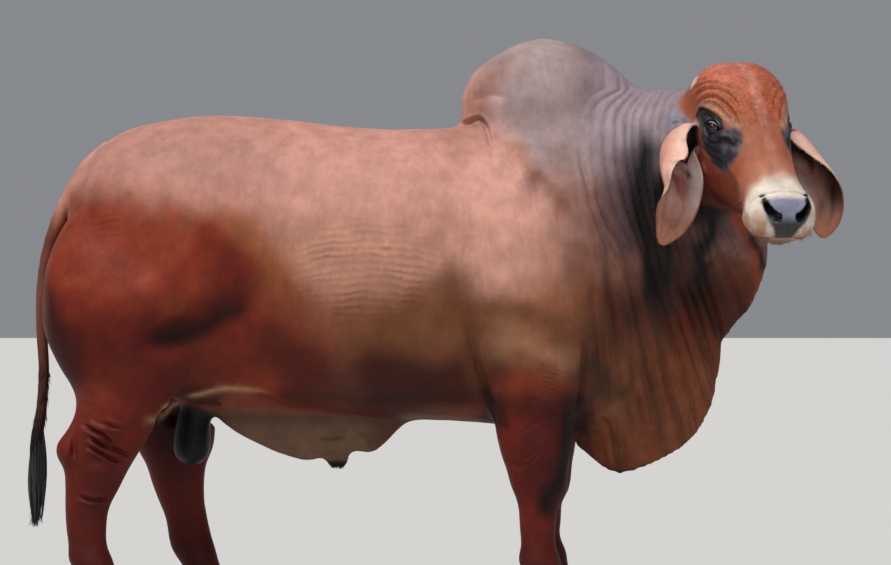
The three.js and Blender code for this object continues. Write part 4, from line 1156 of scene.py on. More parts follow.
# %% Thinning
SKIN_TRIANGLES = 190000
thin = hide.modifiers.new("thin", "DECIMATE")
thin.ratio = SKIN_TRIANGLES / sum(len(face.vertices) - 2 for face in hide.data.polygons)
apply_modifiers(hide)
hide.data.polygons.foreach_set("use_smooth", np.ones(len(hide.data.polygons), bool))
print("triangles:", sum(len(face.vertices) - 2 for face in hide.data.polygons))

# %% [markdown]
# ## Painting by glazes
#
# An animal's markings have soft edges and lie over each other. So the colour is worked out at
# every point of the skin, as a painter works: each part of the pattern is a mask made from the
# place of the point, and a named colour is laid over the paint as thickly as the mask says. Some
# of the glazes are painted shade and painted highlights, laid on in the same way.

# %% Glazes and outlines
def colour_of(red, green, blue):
    """A named screen colour, from 0 to 255, as linear light."""
    value = np.array([red, green, blue], float) / 255
    return np.where(value <= 0.04045, value / 12.92, ((value + 0.055) / 1.055) ** 2.4)


def glaze(paint, *layers):
    """Lays colours over the paint in turn, each as thickly as the mask before it says."""
    for mask, colour in zip(layers[::2], layers[1::2]):
        paint = paint + np.clip(mask, 0, 1)[:, None] * (colour_of(*colour) - paint)
    return paint


def ball(places, middle, reach, edge=0.35):
    """1 inside a ball stretched along the axes, 0 outside, with a soft edge."""
    away = (places - np.asarray(middle, float)) / np.asarray(reach, float)
    return ramp(1 + edge, 1 - edge, np.sqrt((away**2).sum(1)))


def outline_depth(flat, outline):
    """How far inside a closed outline each flat place lies, below 0 outside it.

    The distance is that to the nearest side of the outline. A place is inside when a level line
    from it crosses the sides an odd number of times.
    """
    outline = np.asarray(outline, float)
    ends = np.roll(outline, -1, axis=0)
    way = ends - outline
    away = flat[:, None] - outline[None]
    share = np.clip((away * way).sum(-1) / (way**2).sum(-1), 0, 1)
    gap = np.linalg.norm(away - share[..., None] * way, axis=-1).min(1)
    height = flat[:, 1:]
    spans = (outline[:, 1] > height) != (ends[:, 1] > height)
    slope = way[:, 0] / np.where(way[:, 1] == 0, 1e-9, way[:, 1])
    crossed = spans & (flat[:, :1] < outline[:, 0] + (height - outline[:, 1]) * slope)
    return np.where(crossed.sum(1) % 2 == 1, gap, -gap)


def stroke(flat, line, reach, soft):
    """1 along a bent line in the side view and 0 beyond its reach, with a soft edge."""
    gap = near_line(flat, rounded(line, 14))[0]
    return ramp(reach + soft, max(reach - soft, 0), gap)


# %% [markdown]
# ## Colours of the coat
#
# The coat is red-brown on the haunches and legs, mauve-grey on the hump and neck, paler and
# pinker on the back and darker low down. The pale back is partly a painted sheen and the dark
# underside partly painted shade; the black under the throat is painted shade under the head, and
# some strokes are painted shade in hollows and creases. The large areas are soft masks of height
# and length.
# The smaller ones are strokes in the side view, and a noise that is drawn out upright breaks
# their edges, because the hair and the folds run that way.

# %% Colours of the body
# BACK is partly a painted sheen from above; BROWN and LOW are partly painted shade low on the body.
BACK, RIBS, BROWN, LOW = (188, 136, 122), (170, 122, 102), (124, 76, 50), (64, 20, 10)
RED, DEEP, LEG_RED = (120, 41, 22), (70, 10, 6), (94, 24, 14)
GREY, MAUVE, BLACK, DARK = (156, 137, 136), (142, 127, 135), (6, 5, 9), (30, 15, 15)
TAN, CREAM, FACE = (176, 128, 106), (216, 205, 192), (150, 78, 52)

HAUNCH = [[-1080, 1256], [-926, 1250], [-778, 1238], [-644, 1214], [-545, 1140], [-452, 1030],
          [-363, 900], [-290, 800], [-300, 700], [-452, 650], [-644, 660], [-807, 590],
          [-1160, 500], [-1230, 900], [-1160, 1150]]
# Line in the side view (X, Z), reach, softness, strength and colour.
STROKES = {
    "loin": ([[-980, 1380], [-780, 1410], [-560, 1390]], 70, 120, 0.7, (160, 113, 102)),
    "haunch low": ([[-1100, 830], [-900, 790], [-760, 730]], 100, 120, 0.9, DEEP),
    "haunch rear": ([[-1150, 980], [-1110, 860], [-1085, 740]], 26, 50, 0.8, (40, 5, 5)),
    "haunch top": ([[-1100, 1160], [-960, 1130], [-860, 1120]], 50, 80, 0.5, (134, 56, 34)),
    # Painted shade under the overhanging bulge of the thigh, darkest in the hollow in front of the
    # stifle.
    "thigh shade": ([[-790, 850], [-690, 880], [-600, 960], [-590, 1060]],
        40, 110, 0.65, (80, 16, 9)),
    "thigh hollow": ([[-800, 860], [-718, 872], [-650, 896], [-590, 930]], 2, 56, 0.85, (14, 3, 3)),
    "thigh hollow front": ([[-660, 915], [-590, 962], [-520, 990]], 20, 60, 0.5, (70, 17, 9)),
    "haunch front": ([[-590, 1200], [-500, 1090], [-420, 960]], 14, 56, 0.55, (148, 90, 52)),
    "thigh front": ([[-720, 770], [-620, 770], [-530, 800]], 40, 60, 0.75, (100, 34, 20)),
    "flank": ([[-480, 860], [-400, 790], [-300, 740]], 40, 80, 0.7, (64, 19, 10)),
    "ribs brown": ([[-160, 910], [-40, 930], [80, 960]], 44, 110, 0.75, (104, 60, 34)),
    "ribs rear": ([[-440, 1000], [-380, 920], [-300, 870]], 40, 90, 0.6, (108, 54, 32)),
    # Painted shade under the belly, below the edge of the hanging flank.
    "shade under the belly": ([[-420, 690], [-250, 664], [-80, 650], [60, 640]], 14, 70, 0.7, (34, 11, 5)),
    "belly front": ([[-60, 600], [60, 596], [130, 600]], 26, 40, 0.6, (120, 74, 50)),
    "behind the arm": ([[76, 1010], [100, 900], [150, 740]], 26, 60, 0.8, (88, 46, 24)),
    # Painted shade in the armpit, between the arm and the chest.
    "armpit shade": ([[160, 690], [190, 590]], 16, 30, 0.8, (30, 10, 6)),
    "shoulder light": ([[180, 1280], [230, 1190], [205, 1080]], 50, 140, 0.8, (200, 147, 132)),
    "shoulder low": ([[140, 925], [260, 915], [380, 890]], 16, 50, 0.7, (100, 60, 36)),
    "shoulder front": ([[377, 1400], [405, 1230], [425, 1050]], 34, 70, 0.8, (132, 96, 86)),
    # Painted shade in the valley between the hump and the base of the neck.
    "shade in the shoulder valley": ([[250, 1420], [288, 1347], [347, 1288], [380, 1230]],
        10, 36, 0.85, (122, 76, 62)),
    "arm light": ([[200, 830], [290, 800], [400, 770]], 36, 60, 0.85, (150, 104, 78)),
    "arm shade": ([[250, 790], [300, 750], [340, 740]], 10, 34, 0.5, (104, 58, 34)),
    "front of the shoulder": ([[430, 1090], [452, 960], [470, 860]], 22, 50, 0.7, (108, 62, 44)),
    "front of the shoulder low": ([[520, 940], [500, 820], [470, 700]], 30, 50, 0.7, (74, 40, 24)),
    "foreleg top": ([[240, 710], [330, 700], [420, 700]], 26, 46, 0.85, (118, 46, 26)),
    "forearm": ([[370, 650], [330, 560], [320, 440]], 50, 70, 0.6, (44, 7, 6)),
    # The front of the foreleg: dark hair, with painted shade on the side turned from the light.
    "front of the foreleg": ([[432, 650], [398, 540], [374, 430], [352, 340]],
        34, 34, 0.96, (6, 3, 5)),
    "gaskin": ([[-1060, 640], [-1000, 560], [-980, 500]], 50, 60, 0.6, (104, 36, 24)),
    "hock": ([[-990, 520], [-1000, 440], [-1020, 330]], 60, 50, 0.7, (62, 14, 9)),
    "hump rear": ([[100, 1470], [110, 1600], [190, 1690]], 50, 80, 0.75, (134, 88, 74)),
    "hump base": ([[120, 1440], [200, 1420], [230, 1380]], 30, 60, 0.7, (190, 138, 122)),
    "hump front": ([[330, 1440], [400, 1480], [430, 1420]], 40, 70, 0.6, (134, 116, 118)),
    "neck low": ([[480, 1250], [520, 1140], [560, 1040]], 46, 60, 0.7, (102, 70, 62)),
    "neck dark": ([[560, 1370], [550, 1260], [570, 1130]], 16, 60, 0.7, (78, 60, 64)),
    # Painted shade under the head: black under the jaw, down the throat and the front of the neck.
    "throat": ([[636, 1400], [614, 1300], [620, 1216], [646, 1110], [668, 990]],
        40, 50, 0.97, BLACK),
    "throat middle": ([[690, 1260], [700, 1150], [716, 1020]], 40, 50, 0.95, BLACK),
    "throat low": ([[780, 1100], [830, 1010], [850, 940]], 40, 60, 0.7, (38, 12, 9)),
    "throat front": ([[800, 1290], [824, 1142], [804, 1030], [792, 950], [784, 880]],
        22, 34, 0.97, BLACK),
    "throat top": ([[690, 1290], [760, 1260], [840, 1250]], 50, 46, 0.97, BLACK),
    "dewlap front": ([[890, 1060], [930, 980], [920, 900]], 20, 44, 0.6, (96, 40, 28)),
    "dewlap red": ([[770, 880], [760, 740], [720, 600]], 22, 50, 0.8, (112, 38, 20)),
    "dewlap olive": ([[470, 740], [540, 690], [600, 660]], 30, 50, 0.7, (56, 38, 20)),
    "dewlap tan": ([[570, 620], [600, 540], [610, 490]], 26, 46, 0.8, (128, 88, 62)),
    # Painted shade in the crease at the back of the dewlap.
    "dewlap rear": ([[440, 560], [490, 570], [530, 540]], 10, 18, 0.6, (34, 16, 10)),
    "dewlap edge": ([[640, 440], [760, 520], [840, 680], [880, 820]], 14, 24, 0.6, (120, 66, 40)),
    "chin band": ([[898, 1264], [944, 1140], [976, 1022], [960, 960]], 9, 18, 0.8, (140, 58, 32)),
    # Painted shade under the chin.
    "chin dark": ([[948, 1200], [980, 1100], [996, 1040]], 11, 14, 0.9, (12, 5, 6)),
}


def body_paint(places):
    """The coat's colour at places on the body, legs, neck and dewlap."""
    x, y, z = places.T
    wander = 24 * noise(places, 160, 41) + 10 * noise(places, 60, 42)
    paint = np.tile(colour_of(*RIBS), (len(places), 1))
    flat = places[:, [0, 2]]
    side = ramp(40, 120, np.abs(y))
    inward = outline_depth(flat, HAUNCH) + 2.4 * wander
    red = ramp(-60, 70, inward)
    blotch = noise(places, 85, 48) + 0.5 * noise(places, 34, 49)
    legs = ramp(700, 600, z + wander) * ramp(60, 110, np.abs(y)) * (x < 480)
    front = ramp(120, 330, x + wander + 0.4 * (z - 1400)) * ramp(1200, 1400, z)
    neck = ramp(400, 540, x + 0.6 * wander) * ramp(1000, 1200, z + wander)
    low = ramp(430, 540, x) * ramp(1080, 960, z + wander) * ramp(420, 480, z)
    paint = glaze(
        paint,
        # Paler towards the top and darker towards the belly: partly the coat's own colour, partly a
        # painted sheen on the back and painted shade low down.
        ramp(1080, 1310, z + wander), BACK,
        ramp(1080, 900, z + 1.4 * wander - 0.15 * x), BROWN,
        ramp(890, 740, z + 1.4 * wander), LOW,
        0.7 * ramp(-150, 20, inward), (148, 88, 66),
        red, RED,
        0.5 * red * ramp(0.0, 0.7, blotch), (92, 20, 11),
        0.4 * red * ramp(0.0, -0.7, blotch), (146, 70, 40),
        legs, LEG_RED,
        front, GREY,
        neck, (104, 78, 76),
        neck * ramp(1230, 1420, z + wander), MAUVE,
        low, (122, 68, 42),
        0.85 * low * ramp(740, 920, z + 2 * wander), (46, 19, 12),
    )
    # The dewlap's colours run in streaks from its root to its free edge.
    hanging = np.flatnonzero((x > 420) & (z < 1290))
    if len(hanging):
        number, out = dewlap_place(places[hanging])
        grain = noise(np.stack([number * 40, out * 26, 0 * out + y[hanging] * 0.1], -1), 15, 46)
        grain = grain + 0.5 * noise(np.stack([number * 90, out * 20, 0 * out], -1), 12, 47)
        paint[hanging] = glaze(
            paint[hanging],
            0.6 * ramp(-0.1, 0.7, grain) * ramp(1240, 1100, z[hanging]), (98, 36, 20),
            0.5 * ramp(0.1, -0.8, grain), (40, 20, 14),
        )
    # Painted shade in the valleys of the neck's folds.
    folded = np.flatnonzero((x > 400) & (x < 900) & (z > 1000) & (y < 60))
    valley = neck_folds(places[folded])
    paint[folded] = glaze(paint[folded], 0.5 * ramp(3.5, -9.0, valley), (58, 46, 52))
    ragged = np.stack([22 * noise(places * [1, 1, 0.3], 36, 43) + 10 * noise(places, 90, 45),
                       20 * noise(places, 70, 44)], -1)
    for line, reach, soft, strength, colour in STROKES.values():
        paint = glaze(paint, strength * side * stroke(flat + ragged, line, reach, soft), colour)
    return small_areas(paint, places, wander)


# Middle, reach and the softness of the edge.
SCROTUM_BALL = [-735, 0, 540], [86, 90, 130], 0.15


def small_areas(paint, places, wander):
    """Lays the belly's, the feet's and the tail's colours over the paint, with painted shade on the
    inner sides of the legs and on the scrotum.
    """
    x, y, z = places.T
    # Painted shade on the inner sides of the legs, near the middle and low down.
    inside = ramp(200, 120, np.abs(y)) * ramp(760, 640, z) * ramp(40, 70, np.abs(y))
    sheath = ramp(640, 600, z) * ramp(90, 60, np.abs(y)) * (x > -690) * (x < -60)
    scrotum = ball(places, *SCROTUM_BALL)
    fold = np.interp(x, [-830, -801, -725, -622, -536], [600, 634, 665, 691, 684])
    fold = np.exp(-(((z - fold - 3) / 10) ** 2)) * ramp(-880, -800, x) * ramp(-480, -580, x)
    feet = ramp(330, 200, z + 0.5 * wander)
    near_tail = ramp(-1140, -1165, x)
    return glaze(
        paint,
        0.8 * inside * ((x < -640) | (x > 150)) * (x < 470), (26, 6, 6),
        sheath, (106, 78, 60),
        0.7 * sheath * ramp(-240, -150, x + wander), (76, 42, 26),
        0.7 * sheath * ramp(560, 610, z), (70, 42, 30),
        ball(places, [-292, 0, 452], [44, 60, 22], 0.3), (16, 13, 17),
        # Painted shade: the scrotum, hanging in shadow between the hind legs, is painted near
        # black.
        scrotum, (17, 15, 20),
        0.85 * fold * ramp(60, 120, np.abs(y)), (188, 146, 112),
        0.6 * feet, (48, 12, 9),
        ramp(122, 96, z), DARK,
        0.8 * near_tail * ramp(1300, 1150, z), (100, 58, 46),
        0.8 * near_tail * ramp(900, 700, z), (62, 28, 24),
        near_tail * ramp(640, 540, z), (14, 11, 14),
    )


# %% [markdown]
# ## Colours of the face
#
# The face is orange-red with a black ring round the eye, a bluish patch under it, a tan brow band
# over it and a cream muzzle with a bare slate-grey nose, which has a painted sheen on its upper
# part and painted shade on its lower part. These edges are drawn as closed outlines on the side
# or the front of the head, in the head's own frame.

# %% Colours of the face
# Along and out, on the side of the head.
EYE_PATCH = [[92, -52], [111, -25], [148, -12], [189, -7], [227, -14], [262, 0], [290, -12],
             [318, -40], [328, -80], [314, -118], [280, -140], [232, -138], [186, -120],
             [152, -94], [126, -76], [100, -66]]
EYE_BLACK = [[94, -66], [102, -40], [122, -22], [150, -15], [186, -14], [218, -24]]
EYE_CORNER = [[240, -50], [258, -36], [284, -28]]
# Side and out, on the front of the muzzle; the right half.
NOSE = [[0, -44], [-42, -47], [-63, -52], [-73, -66], [-64, -84], [-52, -98], [-43, -114],
        [-35, -130], [-26, -148], [0, -152]]
NOSE_PAD = NOSE + [[8, -152], [8, -44]]


def nose_depth(local):
    """How deep inside the bare nose's outline places lie, seen from the front of the head."""
    return outline_depth(np.column_stack([-np.abs(local[:, 1]), local[:, 2]]), NOSE_PAD)


def head_paint(paint, local):
    """Lays the face's colours over the paint, from places in the head's frame."""
    along, side, out = local.T
    right = both_sides(local)
    wander = 10 * noise(local, 50, 51) + 5 * noise(local, 22, 52)
    fine = noise(local, 13, 54)
    face = ramp(-66, 10, along) * ramp(-300, -240, out)
    face *= ramp(162, 142, np.abs(side) + 0.5 * wander)
    ochre = ramp(-0.1, 0.6, noise(local, 45, 56)) * ramp(60, 160, along)
    bridge = ramp(200, 270, along + wander) * ramp(-60, -30, out + wander)
    cheek = ramp(-96, -170, out + wander) * ramp(40, 120, along)
    flat = right[:, [0, 2]]
    beside = ramp(-54, -72, right[:, 1])
    band = near_line(right, [[98, -141, -42], [108, -131, -10], [141, -114, 6], [181, -98, 10],
                             [222, -86, 2], [250, -75, 4]])[0]
    patch = ramp(-9, 9, outline_depth(flat, EYE_PATCH) + 0.35 * wander + 3 * fine) * beside
    blobs = ramp(-0.3, 0.4, noise(local * [0.7, 1, 1], 30, 53) + 0.3 * fine)
    over = ramp(9, 4, near_line(flat, rounded(EYE_BLACK))[0] + 0.15 * wander)
    corner = ramp(17, 7, near_line(flat, rounded(EYE_CORNER))[0] + 0.3 * wander)
    muzzle = ramp(420, 492, along + 1.5 * wander + 0.12 * (out + 60))
    jowl = muzzle * ramp(-50, -110, out + wander) * ramp(34, 66, np.abs(side))
    low_lip = ramp(-114, -146, out + wander) * ramp(470, 530, along)
    pad = ramp(-3, 3, nose_depth(local) + 0.15 * wander)
    pad *= ramp(520, 536, along)
    rim = near_line(right, [[552, -66, -66], [566, -52, -86], [580, -34, -95]])[0]
    chin = ramp(480, 540, along) * ramp(-154, -164, out)
    mouth = near_line(right, rounded(MOUTH))[0]
    gap = nostril_gap(local, slice(1, 3))[0]
    spot = ball(local, [-14, -134, -14], [26, 22, 22], 0.3)
    return glaze(
        paint,
        face, FACE,
        0.5 * face * ramp(-30, 60, side + wander), (164, 84, 60),
        0.5 * face * ball(local, [40, -66, 44], [130, 80, 70], 0.6), (204, 122, 100),
        0.6 * face * ramp(24, 5, np.abs(side - 8 + 0.3 * wander)), (188, 128, 114),
        0.45 * face * ochre, (150, 96, 58),
        0.5 * face * bridge, (150, 96, 74),
        0.4 * face * ramp(350, 420, along + wander), (184, 128, 106),
        0.75 * face * cheek, (98, 36, 26),
        # Painted shade under the jaw.
        0.85 * face * ramp(-200, -262, out + wander), (44, 12, 14),
        0.8 * ramp(21, 5, band + 0.2 * wander), TAN,
        0.92 * patch, (78, 78, 90),
        0.8 * patch * blobs, (20, 21, 30),
        0.96 * np.maximum(over, corner) * beside, (12, 10, 12),
        muzzle, CREAM,
        0.8 * jowl * ramp(-0.45, 0.35, noise(local, 24, 55)), (176, 128, 96),
        0.8 * muzzle * low_lip, (148, 84, 56),
        # The bare nose: its light bluish grey is partly a painted sheen, and its lower part is
        # painted shade.
        pad, (124, 126, 146),
        pad * ramp(-74, -104, out), (62, 60, 60),
        0.75 * ramp(7, 3, rim), (190, 184, 188),
        0.8 * chin, (96, 86, 62),
        0.9 * ramp(6.5, 2.5, mouth), (34, 20, 18),
        # Painted shade, near black, inside the nostrils.
        ramp(14, 9, gap) * ramp(492, 505, along), (4, 3, 4),
        0.8 * spot, (206, 194, 180),
    )


# %% [markdown]
# ## Colours of the ears
#
# An ear is pale outside, with a painted highlight along its rim, and pink and red inside, with
# painted shade deep in the cup and under the far ear's rim. The colours follow the cup, so each
# point of the skin looks up its nearest point on the loft that made the ear.

# %% Colours of the ears
EAR_RING = 2 * EAR_COLUMNS
EAR_GRIDS = [ear(rows)[0][:-2].reshape(EAR_LEVELS, EAR_RING, 3) for rows in (EAR_RIGHT, EAR_LEFT)]
AT_ONCE = 1500


def ear_places(grid, places):
    """Which places lie on an ear, their distances, the share down it, across it and inside it.

    The nearest point of the loft's grid is found for each place; its row tells how far down the
    ear it is, and its column how far across and on which wall.
    """
    cup = grid.reshape(-1, 3)
    close = np.flatnonzero(((places > cup.min(0) - 16) & (places < cup.max(0) + 16)).all(1))
    found, gap, inner = np.zeros(len(close), int), np.zeros(len(close)), np.zeros(len(close))
    hollow = np.tile(np.arange(EAR_RING) >= EAR_COLUMNS, EAR_LEVELS)
    for start in range(0, len(close), AT_ONCE):
        some = slice(start, start + AT_ONCE)
        few = places[close[some]]
        square = (few**2).sum(1)[:, None] + (cup**2).sum(1) - 2 * few @ cup.T
        found[some], gap[some] = square.argmin(1), np.sqrt(np.maximum(square.min(1), 0))
        walls = [np.sqrt(np.maximum(square[:, part].min(1), 0)) for part in (~hollow, hollow)]
        inner[some] = ramp(-3, 3, walls[0] - walls[1])
    column = found % EAR_RING
    across = EAR_ACROSS[np.where(column >= EAR_COLUMNS, EAR_RING - 1 - column, column)]
    return close, gap, found // EAR_RING / (EAR_LEVELS - 1), across, inner


def ear_colours(share, across, inner, places, far):
    """Colours at places on an ear; across is -1 at one rim and 1 at the other."""
    rim = across if far else -across
    wander = noise(places * [1, 1, 0.4], 26, 61)
    back = np.tile(colour_of(206, 146, 130), (len(places), 1))
    back = glaze(
        back,
        # A paler band along the rim: a painted highlight where the rolled rim catches the light.
        0.7 * ramp(0.3, 0.9, rim + 0.2 * wander), (232, 196, 176),
        0.7 * ramp(0.5, 0.9, share), (176, 112, 84),
        0.6 * ramp(0.14, 0.02, share + 0.05 * wander), (132, 112, 120),
    )
    inside = np.tile(colour_of(180, 134, 122), (len(places), 1))
    streaks = ramp(0.0, 0.7, np.sin(5.5 * across + 5 * wander)) * ramp(0.22, 0.4, share)
    grey = ramp(-0.2, -0.8, rim) * ramp(0.3, 0.45, share) * ramp(0.8, 0.6, share)
    inside = glaze(
        inside,
        0.7 * streaks * ramp(0.75, 0.5, share), (138, 56, 40),
        0.7 * grey, (172, 162, 160),
        0.8 * ramp(0.6, 0.92, share + 0.05 * wander), (150, 90, 62),
    )
    # Painted shade deep in the cup near the root; on the far ear, painted shade under its upper rim
    # as well.
    deep = ramp(0.4, 0.28, share + 0.1 * wander - 0.12 * rim)
    inside = glaze(inside, 0.97 * deep, (12, 5, 7))
    if far:
        shade = ramp(-0.7, 0.3, rim + 0.3 * wander) * ramp(0.95, 0.6, share)
        inside = glaze(inside, 0.93 * shade, (26, 6, 4))
    edge = 0.7 * ramp(0.93, 0.99, np.abs(across)) * ramp(0.5, 0.6, share)
    return glaze(back + inner[:, None] * (inside - back), edge, (112, 58, 34))


# %% [markdown]
# ## The whole coat
#
# The areas are laid over each other in one function, so that the skin, the lids and every tuft
# of hair take their colours from the same rules. The mesh keeps the results as attributes.

# %% The whole coat
def hide_paint(places):
    """The whole coat's colour at places, how bare and wet the skin is, and how curly the hair."""
    paint = body_paint(places)
    local = head_places(places)
    face = np.flatnonzero(head_region(places))
    if len(face):
        paint[face] = head_paint(paint[face], local[face])
    flat = places[:, [0, 2]]
    # Grey wrinkled skin behind the root of the right ear, with painted shade in the gap under it.
    behind = (places[:, 1] < -180) * ramp(128, 142, np.abs(local[:, 1]))
    wrinkled = stroke(flat, [[708, 1506], [744, 1498], [770, 1470]], 12, 22) * behind
    gap_shade = stroke(flat, [[776, 1466], [786, 1430], [784, 1390]], 10, 16) * behind
    paint = glaze(paint, 0.8 * wrinkled, (116, 116, 130), 0.95 * gap_shade, (12, 8, 10))
    in_ears = np.zeros(len(places))
    for far, grid in enumerate(EAR_GRIDS):
        close, gap, share, across, inner = ear_places(grid, places)
        if not len(close):
            continue
        weight = ramp(16, 9, gap) * ramp(0.0, 0.05, share)
        colours = ear_colours(share, across, inner, places[close], far)
        if not far:
            spot = np.hypot(places[close, 0] - 757, places[close, 2] - 1330)
            colours = glaze(colours, 0.9 * inner * ramp(8, 5, spot), (16, 10, 14))
        paint[close] += weight[:, None] * (colours - paint[close])
        in_ears[close] = np.maximum(in_ears[close], weight)
    holes = nostril_gap(local, slice(1, 3))[0]
    bare = ramp(0, 5, nose_depth(local)) * ramp(528, 540, local[:, 0]) * ramp(10, 15, holes)
    bare = bare + 0.35 * ball(places, *SCROTUM_BALL)
    curly = ramp(-60, 0, local[:, 0]) * ramp(330, 200, local[:, 0])
    curly = curly * ramp(-30, 10, local[:, 2]) * ramp(150, 120, np.abs(local[:, 1]))
    return np.clip(paint, 0.001, 1), np.clip(bare, 0, 1), curly * (1 - in_ears)


def store(thing, name, kind, values):
    """Writes one value, or one colour, for each point of an object's mesh."""
    layer = thing.data.attributes.new(name, kind, "POINT")
    if kind == "FLOAT_COLOR":
        values = np.column_stack([values, np.ones(len(values))])
        layer.data.foreach_set("color", values.astype(np.float32).ravel())
    else:
        layer.data.foreach_set("value", np.asarray(values, np.float32))


full = points_of(hide)
paint, bare, curly = hide_paint(full)
store(hide, "Coat", "FLOAT_COLOR", paint)
store(hide, "Bare", "FLOAT", bare)
store(hide, "Curls", "FLOAT", curly)
print("mean colour of the coat:", paint.mean(0).round(3))

# %% [markdown]
# ## Ripples
#
# Over the ribs, the flank and the upper legs the loose skin lies in fine ripples, too fine for
# the mesh. Each patch of them has a direction and a spacing, kept as two values at every point:
# a phase that counts the ripples, and their depth. The material turns them into a bump.

# %% Ripples
# Middle X and Z, half size along X and Z, spacing, direction of the count in degrees, depth.
RIPPLES = {
    "ribs": ([-190, 1045], [230, 150], 22, 90, 1.0),
    "rib lines": ([95, 1110], [34, 180], 22, 0, 0.5),
    "flank": ([-430, 716], [70, 50], 13, -40, 0.6),
    "flank front": ([-190, 668], [80, 34], 13, -80, 0.5),
    "arm": ([386, 745], [80, 90], 15, 70, 0.6),
    "arm rear": ([196, 640], [36, 130], 15, 8, 0.6),
    "forearm": ([290, 440], [90, 110], 17, -55, 0.5),
    "rump": ([-975, 1188], [66, 44], 22, 98, 0.4),
    "gaskin": ([-960, 600], [90, 60], 16, 60, 0.5),
    "dewlap rear": ([500, 560], [60, 50], 12, 60, 0.6),
}
x, y, z = full.T
phase, depth = np.zeros(len(full)), np.zeros(len(full))
patchy = ramp(-0.6, 0.5, noise(full, 80, 48))
for (mx, mz), (wide, tall), spacing, way, height in RIPPLES.values():
    turned = np.radians(way)
    count = ((x - mx) * np.cos(turned) + (z - mz) * np.sin(turned)) / spacing
    count = count + 0.0006 * (x - mx) ** 2 / spacing
    weight = ramp(1.25, 0.55, np.hypot((x - mx) / wide, (z - mz) / tall))
    weight *= ramp(60, 130, np.abs(y)) * (0.35 + 0.65 * patchy)
    phase = np.where(weight * height > depth, count, phase)
    depth = np.maximum(depth, weight * height)
store(hide, "Ripple", "FLOAT", phase)
store(hide, "Ripple_depth", "FLOAT", depth)
print("rippled points:", int((depth > 0.3).sum()))

# %% [markdown]
# ## Materials
#
# One material serves the whole skin. It takes its base colour from the painted attribute, and
# breaks it up by noise of several sizes, because no coat is of one tone. The hair lies along
# the body, so the fine bump is noise that is stretched along it.

# %% Node helpers
class Look:
    """A material in the making: its shader, and short ways to add the nodes that feed it."""

    def __init__(self, name, **uniform):
        self.material = bpy.data.materials.new(name)
        self.material.use_nodes = True
        self.web = self.material.node_tree
        self.shader = self.web.nodes["Principled BSDF"]
        for socket, value in uniform.items():
            self.shader.inputs[socket.replace("_", " ")].default_value = value

    def node(self, kind, settings=None, **inputs):
        """Adds a node; an input is a value or the socket that feeds it, and i0 is the first."""
        made = self.web.nodes.new("ShaderNode" + kind)
        for name, value in (settings or {}).items():
            setattr(made, name, value)
        for name, value in inputs.items():
            numbered = name[0] == "i" and name[1:].isdigit()
            socket = made.inputs[int(name[1:]) if numbered else name.replace("_", " ")]
            if isinstance(value, bpy.types.NodeSocket):
                self.web.links.new(value, socket)
            else:
                socket.default_value = value
        return made

    def maths(self, operation, first, second=0.0):
        """A sum or another operation on sockets or numbers."""
        return self.node("Math", {"operation": operation}, i0=first, i1=second).outputs[0]

    def product(self, first, second):
        """The product of two sockets or numbers."""
        return self.maths("MULTIPLY", first, second)

    def attribute(self, name, output="Fac"):
        """What a mesh keeps at every point under a name."""
        return self.node("Attribute", {"attribute_name": name}).outputs[output]

    def grain(self, scale, stretch=(1, 1, 1), detail=3.0):
        """Noise in the object's own coordinates, drawn out along some axes."""
        place = self.node("TexCoord").outputs["Object"]
        drawn = self.node("Mapping", Vector=place, Scale=stretch).outputs["Vector"]
        return self.node("TexNoise", Vector=drawn, Scale=scale, Detail=detail).outputs["Fac"]

    def spread(self, value, low=0.0, high=1.0, first=0.0, last=1.0):
        """A value that is moved from one range to another and kept inside it."""
        return self.node("MapRange", Value=value, i1=low, i2=high, i3=first, i4=last).outputs[0]

    def scaled(self, colour, share):
        """A colour made darker or lighter by a share."""
        return self.node("VectorMath", {"operation": "SCALE"}, i0=colour, Scale=share).outputs[0]

    def feed(self, **sockets):
        """Links sockets to the shader's inputs of these names."""
        for name, socket in sockets.items():
            self.web.links.new(socket, self.shader.inputs[name.replace("_", " ")])

    def bump(self, millimetres):
        """Feeds the shader a bump whose height is given in millimetres."""
        made = self.node("Bump", Height=millimetres, Strength=1.0, Distance=0.001)
        self.feed(Normal=made.outputs["Normal"])


# %% Coat material
FULL_TURN = 6.2832
coat = Look("hide", Roughness=0.5, Sheen_Weight=0.02, Sheen_Roughness=0.4, Specular_IOR_Level=0.17)
bare_skin, curls = coat.attribute("Bare"), coat.attribute("Curls")
phase, depth = coat.attribute("Ripple"), coat.attribute("Ripple_depth")
mottle = coat.grain(18.0, detail=4.0)
grain = coat.grain(240.0, (0.35, 1, 1))
streak = coat.grain(80.0, (1, 1, 0.22))
crepe = coat.grain(42.0, (1, 1, 0.5), 6.0)
place = coat.node("TexCoord").outputs["Object"]
whorl = coat.node("TexNoise", Vector=place, Scale=58.0, Detail=3.0, Distortion=1.3).outputs["Fac"]
pebble = coat.node("TexVoronoi", Vector=place, Scale=230.0).outputs["Distance"]

# Colour: the paint, broken by mottles and upright streaks, with painted light and shade in the
# curls that follow their bump.
streaks = coat.product(coat.maths("ADD", streak, crepe), 0.35)
tone = coat.spread(coat.maths("ADD", mottle, streaks), 0.6, 1.1, 0.82, 1.18)
lit = coat.product(coat.spread(whorl, 0.38, 0.62, -0.2, 0.2), curls)
tone = coat.product(tone, coat.maths("ADD", lit, 1.0))
coat.feed(Base_Color=coat.scaled(coat.attribute("Coat", "Color"), tone),
          Roughness=coat.spread(bare_skin, first=0.55, last=0.3))

